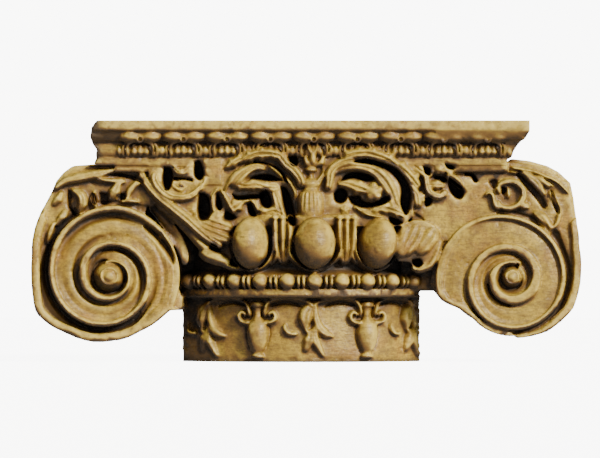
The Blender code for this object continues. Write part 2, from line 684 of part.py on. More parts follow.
# Foliage in the upper outer corners, from each volute's centre
LEFT_CORNER = (
    (((-9, 103), (-30, 100), (-45, 92), (-53, 78)), (3, 6, 5), (0.5, 0.6, 0.4), 0),
    (((-28, 72), (-24, 80), (-27, 88)), (4, 7, 4), (0.35, 0.5, 0.35), 2),
    (((2, 80), (8, 86), (7, 95)), (4, 7, 4), (0.4, 0.55, 0.35), 2),
    (((7, 97), (12, 99), (20, 95)), (2, 2.6, 2), (0.5, 0.5, 0.4), 0),
    (((17, 76), (25, 74), (34, 76)), (2, 3, 2), (0.35, 0.4, 0.35), 0),
    (((-48, 56), (-44, 64), (-46, 76)), (3, 5, 3), (0.3, 0.4, 0.3), 0),
)

RIGHT_CORNER = (
    (((4, 113), (24, 110), (40, 105), (56, 95), (63, 86)), (2, 2.2, 1.6), (0.35, 0.35, 0.2), 0),
    (((-13, 84), (-8, 76), (2, 73), (12, 78), (15, 89), (8, 98), (-3, 99), (-10, 94)),
     (2.4, 3.4, 2), (0.5, 0.5, 0.4), 0),
    (((-22, 86), (-17, 89), (-13, 80), (-11, 76)), (1.8, 2.2, 2), (0.4, 0.4, 0.4), 0),
    (((14, 106), (26, 100), (38, 93), (41, 78), (35, 64)), (5, 7, 4), (0.4, 0.55, 0.35), 2),
)


def make_corners():
    floor = VOLUTE_REACH - GROOVE_DEPTH
    carve(LEFT_CORNER, on_face(floor, LEFT_VOLUTE_X, LEFT_VOLUTE_Z), SCROLL_RISE, RIB_SECTION)
    carve(RIGHT_CORNER, on_face(floor, RIGHT_VOLUTE_X, RIGHT_VOLUTE_Z), SCROLL_RISE, RIB_SECTION)


# The cast

def plaster():
    made = bpy.data.materials.new("painted plaster")
    made.use_nodes = True
    shader = made.node_tree.nodes["Principled BSDF"]
    shader.inputs["Base Color"].default_value = (0.36, 0.25, 0.09, 1)
    shader.inputs["Roughness"].default_value = 0.55
    shader.inputs["Metallic"].default_value = 0.0
    return made


def fuse():
    """All the clay as one skin, thinned to the number of facets wanted."""
    FACE_CLAY.from_mesh(mesh_of(ROUND_CLAY))
    fused = bpy.data.objects.new("fused", mesh_of(FACE_CLAY))
    CAPITAL.objects.link(fused)
    grid = fused.modifiers.new("fuse", 'REMESH')
    grid.mode = 'VOXEL'
    grid.voxel_size = GRAIN * MM
    fused = bpy.data.objects.new("fused", as_mesh(fused))
    CAPITAL.objects.link(fused)
    thin = fused.modifiers.new("thin", 'DECIMATE')
    thin.ratio = FACETS / (2 * len(fused.data.polygons))
    return as_mesh(fused)


def mesh_of(clay):
    mesh = bpy.data.meshes.new("clay")
    clay.to_mesh(mesh)
    clay.free()
    return mesh


def make_capital():
    make_drum()
    make_astragal()
    make_eggs()
    make_darts()
    for k in (-1, 1):
        neck_vase(k)
    for k in (-2, 0, 2):
        neck_leaves(k)
    make_ground()
    make_abacus()
    make_leaf_and_dart()
    make_central_vase()
    make_frieze()
    inner = CUT_HALF_WIDTH - 8
    make_volute_plate("left volute plate", LEFT_VOLUTE_X, LEFT_VOLUTE_Z, left_outline(), -inner)
    make_volute_plate("right volute plate", RIGHT_VOLUTE_X, RIGHT_VOLUTE_Z, right_outline(),
                      inner)
    make_volute(LEFT_VOLUTE_X, LEFT_VOLUTE_Z, 1, left_outline(), (2.5, 0))
    make_volute(RIGHT_VOLUTE_X, RIGHT_VOLUTE_Z, -1, right_outline(), (4, 4.5))
    make_corners()
    capital = bpy.data.objects.new("capital", fuse())
    CAPITAL.objects.link(capital)
    capital.data.materials.append(plaster())
    trim_flat(capital)


def trim_flat(capital):
    """Cut the back, the underside and the top flat."""
    mesh = bpy.data.meshes.new("bench")
    shape = bmesh.new()
    bmesh.ops.create_cube(shape, size=1.0)
    wide = 4 * (RIGHT_VOLUTE_X - LEFT_VOLUTE_X)
    deep = 4 * FRONT_REACH
    size = Vector((wide, deep, TOP_Z)) * MM
    centre = Vector((0, AXIS_Y - BACK_REACH - deep / 2, TOP_Z / 2)) * MM
    bmesh.ops.transform(shape, verts=shape.verts,
                        matrix=Matrix.Translation(centre) @ Matrix.Diagonal((*size, 1)))
    shape.to_mesh(mesh)
    shape.free()
    bench = bpy.data.objects.new("bench", mesh)
    bench.hide_render = True
    bench.display_type = 'WIRE'
    CUTTERS.objects.link(bench)
    step = capital.modifiers.new("flat back, underside and top", 'BOOLEAN')
    step.operation = 'INTERSECT'
    step.solver = 'EXACT'
    step.object = bench


make_capital()
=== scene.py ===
"""Looks of a plaster cast from the front of an Ionic capital.

The cast is shaped again at a finer grain than in the solid model. Closed pieces of clay
overlap, are fused into one skin, and the skin is then chiselled, worn and broken. Lengths
are millimetres until a point is placed, angles are degrees. Across runs to the right from
the column axis, up from the underside, and out is the distance in front of the surface
that a carving lies on.
"""

from math import atan2, cos, hypot, pi, radians, sin

import bmesh
import bpy
import numpy as np
from mathutils import Matrix, Vector


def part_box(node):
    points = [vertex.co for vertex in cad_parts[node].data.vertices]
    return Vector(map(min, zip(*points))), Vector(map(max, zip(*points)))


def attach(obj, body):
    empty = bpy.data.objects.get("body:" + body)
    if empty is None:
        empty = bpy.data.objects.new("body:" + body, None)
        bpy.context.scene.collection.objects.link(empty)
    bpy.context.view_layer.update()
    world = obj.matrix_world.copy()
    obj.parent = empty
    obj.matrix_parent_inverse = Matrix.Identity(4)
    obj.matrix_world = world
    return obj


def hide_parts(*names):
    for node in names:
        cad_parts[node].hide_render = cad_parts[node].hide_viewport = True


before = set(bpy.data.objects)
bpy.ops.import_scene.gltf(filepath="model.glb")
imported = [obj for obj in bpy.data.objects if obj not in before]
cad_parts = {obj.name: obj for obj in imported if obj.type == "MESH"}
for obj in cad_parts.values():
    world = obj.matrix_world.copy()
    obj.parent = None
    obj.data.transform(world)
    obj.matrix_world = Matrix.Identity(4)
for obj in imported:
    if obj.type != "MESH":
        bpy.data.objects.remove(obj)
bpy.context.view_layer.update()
MM = 0.001
LOW, HIGH = (np.array(corner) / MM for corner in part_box("capital"))

# The column axis and the cuts of the cast
AXIS_X = -5.0
BACK_REACH = 70.0
AXIS_Y = HIGH[1] + BACK_REACH
FRONT_REACH = AXIS_Y - LOW[1]
CUT_HALF_WIDTH = 118.5

# Heights of the courses
NECK_TOP = 65.0
FILLET_TOP = 73.0
ASTRAGAL_TOP = 89.0
EGGS_TOP = 144.0
BORDER_Z = 190.0
ABACUS_Z = 196.5
CYMA_Z = 204.0
TOP_FILLET_Z = 230.5
TOP_Z = HIGH[2]

# Round courses
NECK_RADIUS = 148.0
FILLET_RADIUS = 169.0
BEAD_RING_RADIUS = 170.0
EGG_BED_RADIUS = 160.0
EGG_LEDGE_RADIUS = 171.0
EGG_RING_RADIUS = 173.0
BEAD_RADIUS = 8.0
BEAD_STEP = 9.2
BEAD_COUNT = 10
REEL_RADIUS = 6.6
REEL_LENGTH = 2.6
REEL_GAP = 2.4
BAY = 21.4
BAY_START = 4.6
EGG_HALF_HEIGHT = 25.8
SHELL_GAP = 3.6

# Flat faces, in front of the column axis
FRIEZE_REACH = 150.0
MIDDLE_REACH = 159.0
WEB_REACH = 114.0
VASE_REACH = 160.0
VASE_ACROSS = 9.5
PLATE_REACH = 148.0
BORDER_REACH = 158.0
ABACUS_REACH = 160.0

# Volutes. They start to wind before their top, which is turn 0
LEFT_VOLUTE = (-192.5, 85.5)
RIGHT_VOLUTE = (205.8, 80.0)
WHORL_REACH = 71.5
STEPS_IN_TURN = 96
FIRST_TURN = -0.48
LAST_TURN = 2.05
RIM_GAP = 3.6

# Abacus
ABACUS_LEFT = -206.0
ABACUS_RIGHT = 209.5
LEAF_STEP = 43.3
LEAF_BAYS = 9
FIRST_EYELET = -160.5
WORN_FROM = 134.0

# How far closed pieces of clay run into each other, and the grain of their skin
LAP = 2.5
GRAIN = 0.85
MOST_TRIANGLES = 190000
NOISE_SEED = 1879


# Places

def on_face(reach, across=0.0, up=0.0):
    """Places on a flat face, as millimetres from a point on it."""
    def place(a, u, out=0.0):
        return Vector((AXIS_X + across + a, AXIS_Y - reach - out, up + u)) * MM
    return place


def on_drum(radius, angle, up=0.0, side=1):
    """Places on a round course, along its curve from an angle."""
    def place(a, u, out=0.0):
        turn = radians(angle) + side * a / radius
        far = radius + out
        return Vector((AXIS_X + far * sin(turn), AXIS_Y - far * cos(turn), up + u)) * MM
    return place


# Lines

def smooth(points, steps=5):
    """A rounded line through given points (Catmull-Rom)."""
    knots = [Vector(p) for p in points]
    knots = [2 * knots[0] - knots[1]] + knots + [2 * knots[-1] - knots[-2]]
    line = []
    for a, b, c, d in zip(knots, knots[1:], knots[2:], knots[3:]):
        for i in range(steps):
            t = i / steps
            line.append(0.5 * (2 * b + (c - a) * t + (2 * a - 5 * b + 4 * c - d) * t * t
                               + (3 * b - a - 3 * c + d) * t ** 3))
    line.append(knots[-2])
    return line


def ellipse_line(half_width, half_height, start, end, steps):
    """Part of an ellipse about the origin, between two angles."""
    angles = [radians(start + (end - start) * i / steps) for i in range(steps + 1)]
    return [Vector((half_width * cos(a), half_height * sin(a))) for a in angles]


def blend(values, t):
    """Read values that are spread evenly from 0 to 1, at t."""
    spot = min(max(t, 0.0), 1.0) * (len(values) - 1)
    i = min(int(spot), len(values) - 2)
    return values[i] + (values[i + 1] - values[i]) * (spot - i)


# Clay

ROUND_CLAY = bmesh.new()
FACE_CLAY = bmesh.new()
PLASTER = bpy.data.materials.new("toned plaster")


def add_clay(shape, clay):
    """Add a closed piece. What is on the round courses stops at their straight-cut sides."""
    if clay is ROUND_CLAY:
        for side in (-1, 1):
            cut_flat(shape, Vector((AXIS_X + side * CUT_HALF_WIDTH, 0, 0)) * MM,
                     Vector((side, 0, 0)))
        cut_flat(shape, Vector((0, AXIS_Y - BACK_REACH + LAP, 0)) * MM, Vector((0, 1, 0)))
    mesh = bpy.data.meshes.new("piece")
    shape.to_mesh(mesh)
    shape.free()
    clay.from_mesh(mesh)
    bpy.data.meshes.remove(mesh)


def cut_flat(shape, point, outward):
    """Cut a solid at a plane and close the cut."""
    everything = shape.verts[:] + shape.edges[:] + shape.faces[:]
    cut = bmesh.ops.bisect_plane(shape, geom=everything, plane_co=point, plane_no=outward,
                                 clear_outer=True)["geom_cut"]
    edges = [e for e in cut if isinstance(e, bmesh.types.BMEdge)]
    if edges:
        bmesh.ops.edgeloop_fill(shape, edges=edges)


def loft(rings, clay):
    """A closed solid through rings of points, with flat ends."""
    shape = bmesh.new()
    rows = [[shape.verts.new(p) for p in ring] for ring in rings]
    for row, following in zip(rows, rows[1:]):
        for i, corner in enumerate(row):
            j = (i + 1) % len(row)
            shape.faces.new((corner, row[j], following[j], following[i]))
    shape.faces.new(list(reversed(rows[0])))
    shape.faces.new(rows[-1])
    add_clay(shape, clay)


# Sections of a raised band: shares of its half width and of its rise
ROUND_SECTION = ((-1, 0.35), (-0.8, 0.72), (-0.4, 0.95), (0, 1), (0.4, 0.95), (0.8, 0.72),
                 (1, 0.35))
STEM_SECTION = ((-1, 0.35), (-0.75, 0.85), (-0.4, 1), (-0.12, 0.84), (0.12, 0.84), (0.4, 1),
                (0.75, 0.85), (1, 0.35))
LEAF_SECTION = ((-1, 0.3), (-0.75, 0.76), (-0.38, 0.96), (0, 0.8), (0.38, 0.96), (0.75, 0.76),
                (1, 0.3))
KEEL_SECTION = ((-1, 0.3), (-0.5, 0.62), (0, 1), (0.5, 0.62), (1, 0.3))


def ridge(place, line, half_width, rise, clay, section=ROUND_SECTION, sink=6.0, tapers=True):
    """A raised band along a line. Widths and rises are spread evenly from start to end."""
    rings = []
    last = len(line) - 1
    walked = [0.0]
    for a, b in zip(line, line[1:]):
        walked.append(walked[-1] + (b - a).length)
    for i, point in enumerate(line):
        t = i / last
        along = (line[min(i + 1, last)] - line[max(i - 1, 0)]).normalized()
        across = Vector((-along.y, along.x))
        width = blend(half_width, t)
        height = blend(rise, t)
        to_end = min(walked[i], walked[-1] - walked[i]) / width
        if tapers and to_end < 1:
            rounding = 0.45 + 0.55 * (1 - (1 - to_end) ** 2) ** 0.5
            width *= rounding
            height *= 0.4 + 0.6 * rounding
        ring = [place(*(point - across * width), -sink)]
        ring += [place(*(point + across * width * u), height * v) for u, v in section]
        ring += [place(*(point + across * width), -sink)]
        rings.append(ring)
    loft(rings, clay)


def leaf(place, points, half_width, rise, clay, lobes):
    """An acanthus leaf: a folded body with rounded lobes that sweep forward from its rib."""
    line = smooth(points, 6)
    last = len(line) - 1
    ridge(place, line, [0.86 * w for w in half_width], rise, clay, LEAF_SECTION)
    for i in range(lobes):
        t = (i + 0.35) / (lobes + 0.3)
        knot = round(t * last)
        spot = line[knot]
        along = (line[min(knot + 1, last)] - line[max(knot - 1, 0)]).normalized()
        wide = blend(half_width, t)
        high = blend(rise, t)
        for side in (-1, 1):
            out = Vector((-along.y, along.x)) * side
            tip = spot + out * wide + along * wide * 0.55
            middle = spot + out * wide * 0.6 + along * wide * 0.15
            broad = max(wide * 0.5, 1.6)
            ridge(place, smooth((spot, middle, tip), 4), (broad, broad * 1.15, broad * 0.8),
                  (high * 0.9, high * 0.92, high * 0.7), clay)


def stand(place, a=0.0, u=0.0, out=0.0):
    """The turn and place of a solid that stands on a surface, facing out of it."""
    origin = place(a, u, out)
    front = (place(a, u, out + 1) - origin).normalized()
    side = Vector((0, 0, 1)).cross(front)
    turn = Matrix((side, front, Vector((0, 0, 1)))).transposed().to_4x4()
    return Matrix.Translation(origin) @ turn


def knob(place, a, u, out, sizes, clay, lean=0.0):
    """An ellipsoid. Sizes are half width, half depth and half height."""
    shape = bmesh.new()
    bmesh.ops.create_uvsphere(shape, u_segments=28, v_segments=18, radius=MM)
    bmesh.ops.transform(shape, verts=shape.verts,
                        matrix=stand(place, a, u, out) @ Matrix.Rotation(radians(lean), 4, 'Y')
                        @ Matrix.Diagonal((*sizes, 1)))
    add_clay(shape, clay)


def turned(place, profile, clay, segments=64, depth=1.0):
    """A turned solid. The profile is (radius, height), from the top."""
    mesh = bpy.data.meshes.new("turned")
    points = [(0.0, profile[0][1])] + list(profile) + [(0.0, profile[-1][1])]
    edges = [(i, i + 1) for i in range(len(points) - 1)]
    mesh.from_pydata([(r * MM, 0, h * MM) for r, h in points], edges, [])
    shape = bmesh.new()
    shape.from_mesh(mesh)
    bpy.data.meshes.remove(mesh)
    bmesh.ops.spin(shape, geom=shape.verts[:] + shape.edges[:], cent=(0, 0, 0), axis=(0, 0, 1),
                   angle=2 * pi, steps=segments, use_merge=True)
    bmesh.ops.remove_doubles(shape, verts=shape.verts, dist=1e-6)
    bmesh.ops.transform(shape, verts=shape.verts,
                        matrix=stand(place) @ Matrix.Diagonal((1, depth, 1, 1)))
    add_clay(shape, clay)


def plate(outline, back, front, clay):
    """A flat outline with thickness, given from the column axis and the underside."""
    shape = bmesh.new()
    rows = [[shape.verts.new(Vector((AXIS_X + x, AXIS_Y - reach, z)) * MM) for x, z in outline]
            for reach in (back, front)]
    for i, corner in enumerate(rows[0]):
        j = (i + 1) % len(rows[0])
        shape.faces.new((corner, rows[0][j], rows[1][j], rows[1][i]))
    for row in rows:
        face = shape.faces.new(row)
        bmesh.ops.triangulate(shape, faces=[face])
    add_clay(shape, clay)


def block(left, right, bottom, top, back, front, clay):
    """An upright box, given from the column axis and the underside."""
    plate(((left, bottom), (right, bottom), (right, top), (left, top)), back, front, clay)


# What repeats is grown by node trees

def new_tree(name, sizes):
    """A geometry tree with named sizes, each (name, value)."""
    tree = bpy.data.node_groups.new(name, 'GeometryNodeTree')
    for label, value in sizes:
        kind = 'NodeSocketInt' if isinstance(value, int) else 'NodeSocketFloat'
        tree.interface.new_socket(label, in_out='INPUT', socket_type=kind)
    tree.interface.new_socket("Geometry", in_out='OUTPUT', socket_type='NodeSocketGeometry')
    return tree


def feed(tree, node, links):
    """Feed a node's sockets with values or with other nodes' outputs."""
    for socket, source in links.items():
        if isinstance(source, bpy.types.NodeSocket):
            tree.links.new(source, node.inputs[socket])
        else:
            node.inputs[socket].default_value = source


def place_node(tree, kind, links, **settings):
    """Add a node, set it and feed its sockets."""
    node = tree.nodes.new(kind)
    for key, value in settings.items():
        setattr(node, key, value)
    feed(tree, node, links)
    return node


def arithmetic(tree, operation, a, b):
    """Two values, added, subtracted or multiplied."""
    return place_node(tree, 'ShaderNodeMath', {0: a, 1: b}, operation=operation).outputs[0]


def sum_of(tree, a, b):
    """Two values added."""
    return arithmetic(tree, 'ADD', a, b)


def product_of(tree, a, b):
    """Two values multiplied."""
    return arithmetic(tree, 'MULTIPLY', a, b)


def joined(tree, parts):
    """Several geometries as one."""
    node = tree.nodes.new('GeometryNodeJoinGeometry')
    for part in reversed(parts):
        tree.links.new(part, node.inputs[0])
    return node.outputs[0]


def ball(tree, sizes, spot, turn=(0.0, 0.0, 0.0)):
    """An ellipsoid: half sizes, place and turn, in metres and radians."""
    sphere = place_node(tree, 'GeometryNodeMeshUVSphere', {"Segments": 20, "Rings": 12,
                                                           "Radius": 1.0}).outputs[0]
    return place_node(tree, 'GeometryNodeTransform',
                      {"Geometry": sphere, "Translation": spot, "Rotation": turn,
                       "Scale": sizes}).outputs[0]


def bent_bar(tree, start, middle, end, thickness):
    """A round bar along a bend through three points."""
    bend = place_node(tree, 'GeometryNodeCurvePrimitiveBezierSegment',
                      {"Start": start, "Start Handle": middle, "End Handle": middle,
                       "End": end, "Resolution": 10}).outputs[0]
    round_bar = place_node(tree, 'GeometryNodeCurvePrimitiveCircle',
                           {"Resolution": 8, "Radius": thickness}).outputs[0]
    return place_node(tree, 'GeometryNodeCurveToMesh',
                      {"Curve": bend, "Profile Curve": round_bar, "Fill Caps": True}).outputs[0]


def turned_copies(tree, part, count, first, step):
    """Copies of a part around the upright axis."""
    index = tree.nodes.new('GeometryNodeInputIndex').outputs[0]
    angle = sum_of(tree, first, product_of(tree, index, step))
    turn = place_node(tree, 'ShaderNodeCombineXYZ', {2: angle}).outputs[0]
    points = place_node(tree, 'GeometryNodePoints', {"Count": count}).outputs[0]
    return place_node(tree, 'GeometryNodeInstanceOnPoints',
                      {"Points": points, "Instance": part, "Rotation": turn}).outputs[0]


def finish_tree(tree, geometry, centre):
    """End a tree: real geometry, moved to its place and coated."""
    real = place_node(tree, 'GeometryNodeRealizeInstances', {0: geometry}).outputs[0]
    moved = place_node(tree, 'GeometryNodeTransform',
                       {"Geometry": real, "Translation": centre}).outputs[0]
    coated = place_node(tree, 'GeometryNodeSetMaterial',
                        {"Geometry": moved, "Material": PLASTER}).outputs[0]
    out = tree.nodes.new('NodeGroupOutput')
    tree.links.new(coated, out.inputs[0])


def grow(tree, sizes, clay):
    """Run a tree with named sizes and add what it makes to the clay."""
    holder = bpy.data.objects.new(tree.name, bpy.data.meshes.new(tree.name))
    bpy.context.scene.collection.objects.link(holder)
    step = holder.modifiers.new(tree.name, 'NODES')
    step.node_group = tree
    for item in tree.interface.items_tree:
        if item.item_type == 'SOCKET' and item.in_out == 'INPUT':
            step[item.identifier] = dict(sizes)[item.name]
    graph = bpy.context.evaluated_depsgraph_get()
    grown = bpy.data.meshes.new_from_object(holder.evaluated_get(graph))
    bpy.data.objects.remove(holder, do_unlink=True)
    shape = bmesh.new()
    shape.from_mesh(grown)
    bpy.data.meshes.remove(grown)
    add_clay(shape, clay)


def grow_astragal():
    """Bead and reel: beads in a ring, with a pair of thin reels between each two."""
    sizes = (("Beads", BEAD_COUNT), ("Step", radians(BEAD_STEP)),
             ("First", -radians(BEAD_STEP * (BEAD_COUNT - 1) / 2)),
             ("Reel Offset", (REEL_LENGTH + REEL_GAP) / 2 / BEAD_RING_RADIUS))
    tree = new_tree("bead and reel", sizes)
    given = tree.nodes.new('NodeGroupInput').outputs
    level = (FILLET_TOP + ASTRAGAL_TOP) / 2 * MM
    radius = BEAD_RING_RADIUS * MM
    bead = ball(tree, (BEAD_RADIUS * MM,) * 3, (0, -radius, level))
    bar = place_node(tree, 'GeometryNodeMeshCylinder',
                     {"Vertices": 24, "Radius": REEL_RADIUS * MM,
                      "Depth": REEL_LENGTH * MM}).outputs[0]
    reel = place_node(tree, 'GeometryNodeTransform',
                      {"Geometry": bar, "Translation": (0, -radius, level),
                       "Rotation": (0, pi / 2, 0)}).outputs[0]
    parts = [turned_copies(tree, bead, given["Beads"], given["First"], given["Step"])]
    between = sum_of(tree, given["First"], product_of(tree, given["Step"], 0.5))
    count = arithmetic(tree, 'SUBTRACT', given["Beads"], 1)
    for operation in ('ADD', 'SUBTRACT'):
        first = arithmetic(tree, operation, between, given["Reel Offset"])
        parts.append(turned_copies(tree, reel, count, first, given["Step"]))
    finish_tree(tree, joined(tree, parts), (AXIS_X * MM, AXIS_Y * MM, 0))
    grow(tree, sizes, FACE_CLAY)


def grow_leaf_and_dart():
    """One bay of heart leaf, eyelet, tongues and lobes, repeated along the abacus."""
    sizes = (("Bays", LEAF_BAYS), ("Step", LEAF_STEP * MM), ("First", FIRST_EYELET * MM))
    tree = new_tree("leaf and dart", sizes)
    given = tree.nodes.new('NodeGroupInput').outputs
    parts = []

    def at(a, u, out):
        """A place in the bay: from its middle, from its foot, and out."""
        return Vector((a, -out, u)) * MM

    def lump(a, u, out, half_sizes):
        """An ellipsoid in the bay."""
        parts.append(ball(tree, tuple(size * MM for size in half_sizes), at(a, u, out)))

    for side in (-1, 1):
        lump(side * 10.8, 21.4, 8, (10.7, 8.5, 6.6))
        parts.append(bent_bar(tree, at(side * 2.6, 17, 9), at(side * 13.5, 14, 10),
                              at(side * 12.5, 1, 2.4), 1.5 * MM))
        parts.append(bent_bar(tree, at(side * 12, 15, 4), at(side * 17.5, 12, 6),
                              at(side * 16.6, 1, 2.4), 1.4 * MM))
        lump(side * 21.0, 7, 2.4, (2.0, 3.4, 5.4))
        lump(side * 6.2, 6, 2.6, (3.0, 3.6, 4.2))
        lump(side * 6.4, 11.4, 3, (2.4, 2.8, 2.6))
    lump(0, 7.6, 2.8, (2.8, 4.4, 6.4))
    ring = place_node(tree, 'GeometryNodeCurvePrimitiveCircle',
                      {"Resolution": 16, "Radius": 2.9 * MM}).outputs[0]
    wire = place_node(tree, 'GeometryNodeCurvePrimitiveCircle',
                      {"Resolution": 6, "Radius": 1.2 * MM}).outputs[0]
    eyelet = place_node(tree, 'GeometryNodeCurveToMesh',
                        {"Curve": ring, "Profile Curve": wire}).outputs[0]
    parts.append(place_node(tree, 'GeometryNodeTransform',
                            {"Geometry": eyelet, "Translation": at(0, 18.4, 13.4),
                             "Rotation": (pi / 2, 0, 0)}).outputs[0])
    start = place_node(tree, 'ShaderNodeCombineXYZ', {0: given["First"]}).outputs[0]
    step = place_node(tree, 'ShaderNodeCombineXYZ', {0: given["Step"]}).outputs[0]
    row = place_node(tree, 'GeometryNodeMeshLine',
                     {"Count": given["Bays"], "Start Location": start,
                      "Offset": step}).outputs[0]
    copies = place_node(tree, 'GeometryNodeInstanceOnPoints',
                        {"Points": row, "Instance": joined(tree, parts)}).outputs[0]
    origin = Vector((AXIS_X, AXIS_Y - ABACUS_REACH, CYMA_Z)) * MM
    finish_tree(tree, copies, origin)
    grow(tree, sizes, FACE_CLAY)


def grow_flutes():
    """Rounded flutes around the belly of the central vase."""
    count = 16
    sizes = (("Flutes", count), ("First", 0.0), ("Step", 2 * pi / count))
    tree = new_tree("vase flutes", sizes)
    given = tree.nodes.new('NodeGroupInput').outputs
    flute = ball(tree, (1.5 * MM, 2.2 * MM, 11.5 * MM), (0, -10.6 * MM, 0), (-0.09, 0, 0))
    ring = turned_copies(tree, flute, given["Flutes"], given["First"], given["Step"])
    centre = Vector((AXIS_X + VASE_ACROSS, AXIS_Y - VASE_REACH, EGGS_TOP + 15)) * MM
    finish_tree(tree, ring, centre)
    grow(tree, sizes, FACE_CLAY)


# Round courses

def make_drum():
    """The turned body: neck, fillet, astragal bed and the bed of the eggs."""
    profile = (
        (EGG_LEDGE_RADIUS - 5, EGGS_TOP + 3),
        (EGG_LEDGE_RADIUS - 1, EGGS_TOP),
        (EGG_LEDGE_RADIUS - 3, EGGS_TOP - 7),
        (EGG_BED_RADIUS, EGGS_TOP - 12),
        (EGG_BED_RADIUS - 4, ASTRAGAL_TOP + 20),
        (EGG_BED_RADIUS - 3, ASTRAGAL_TOP + 3),
        (BEAD_RING_RADIUS - 5, ASTRAGAL_TOP - 1.5),
        (BEAD_RING_RADIUS - 5, ASTRAGAL_TOP - 3),
        (BEAD_RING_RADIUS - 5.5, FILLET_TOP + 3),
        (BEAD_RING_RADIUS - 6, FILLET_TOP + 1),
        (FILLET_RADIUS, FILLET_TOP),
        (FILLET_RADIUS, NECK_TOP + 0.5),
        (FILLET_RADIUS - 2, NECK_TOP),
        (NECK_RADIUS + 1, NECK_TOP - 1.2),
        (NECK_RADIUS, NECK_TOP - 7),
        (NECK_RADIUS, -LAP),
    )
    turned(on_face(0), profile, ROUND_CLAY, 240)


def make_eggs():
    """Three eggs, each in an open shell; the outer shells are partly behind the leaves."""
    level = ASTRAGAL_TOP + 30
    depth = FRONT_REACH - EGG_RING_RADIUS - 1
    for k, half_width, lean in ((-1, 17.8, 0), (0, 20.6, 0), (1, 18.2, 9)):
        place = on_drum(EGG_RING_RADIUS, BAY_START + k * BAY, level)
        knob(place, 0, 0, 0, (half_width, depth, EGG_HALF_HEIGHT), ROUND_CLAY, lean)
        line = ellipse_line(half_width + SHELL_GAP, EGG_HALF_HEIGHT + 2, 18, -198, 40)
        shell = on_drum(EGG_BED_RADIUS, BAY_START + k * BAY, level)
        ridge(shell, line, (1.5, 1.9, 1.5), (19, 15, 15, 19), ROUND_CLAY, KEEL_SECTION)


def make_darts():
    """Three-ribbed darts between the eggs, which split low down into curling tongues."""
    for k in (-0.5, 0.5):
        place = on_drum(EGG_BED_RADIUS, BAY_START + k * BAY, EGGS_TOP)
        for rib in (-1, 0, 1):
            start = rib * 7.2
            line = smooth(((start, 0), (start, -17), (start * 0.8, -32), (start * 0.3, -47)), 5)
            ridge(place, line, (3.3, 3.2, 2.6, 1.2), (17, 16, 14, 7), ROUND_CLAY)
            if rib:
                tongue = smooth(((rib * 5, -30), (rib * 7, -40), (rib * 13, -47)), 5)
                ridge(place, tongue, (1.8, 1.8, 1.0), (14, 12, 7), ROUND_CLAY)
            knob(place, start, 0.5, 13, (3.4, 4.5, 3), ROUND_CLAY)


# Ornament of the neck

def neck_vase(k):
    """A two-handled vase, with tendrils that arch away from it to the leaves."""
    angle = BAY_START + k * BAY
    profile = ((7, 60), (7, 56), (4.2, 54), (4.2, 46), (6.2, 43), (9.6, 38), (11.2, 30),
               (10.2, 20), (7, 12), (4, 9), (6.6, 7), (6.6, 4))
    turned(on_drum(NECK_RADIUS + 2, angle), profile, ROUND_CLAY, 36, 0.95)
    bay_length = radians(BAY) * NECK_RADIUS
    for side in (-1, 1):
        place = on_drum(NECK_RADIUS, angle, 0, side)
        arch = smooth(((bay_length, 55), (bay_length - 7, 61), (28, 64), (13, 60.5),
                       (7.6, 50), (8.5, 45)), 6)
        ridge(place, arch, (1.7, 1.9, 1.7, 1.5), (7, 9, 9, 6), ROUND_CLAY)
        curl = smooth(((7, 41), (11, 39), (16.5, 41), (18.6, 46), (15.5, 50), (12.0, 48),
                       (13.5, 45)), 6)
        ridge(place, curl, (2.2, 2.2, 1.8, 1.3), (8, 8.5, 7.5, 6), ROUND_CLAY)


def neck_leaves(k):
    """Leaves that hang from the point where two tendrils meet."""
    place = on_drum(NECK_RADIUS, BAY_START + k * BAY)
    knob(place, 0, 57, 1, (4.2, 4.5, 4.5), ROUND_CLAY)
    leaves = (
        (((-1, 58), (-6, 51), (-8, 42), (-7, 32)), (2.8, 6.4, 6.6, 2.0), (5, 8, 9, 5)),
        (((-8, 33), (-4, 29), (1, 28)), (1.8, 1.6, 1.0), (7, 7, 4)),
        (((2, 58), (2.5, 46), (6, 35), (13, 28), (21, 26)), (2.0, 3.6, 4.8, 1.4),
         (5, 7, 8, 4)),
        (((-2, 33), (-4, 22), (-8, 10)), (2.4, 5.4, 2.4), (6, 8, 4)),
        (((1, 36), (3, 20), (11, 5)), (1.8, 4.2, 1.8), (6, 8, 4)),
        (((-28, 38), (-27, 32), (-22, 28), (-15, 29)), (1.4, 2.2, 1.8), (4, 7, 5)),
    )
    for points, widths, rises in leaves:
        ridge(place, smooth(points, 6), widths, rises, ROUND_CLAY, LEAF_SECTION)


# Volutes

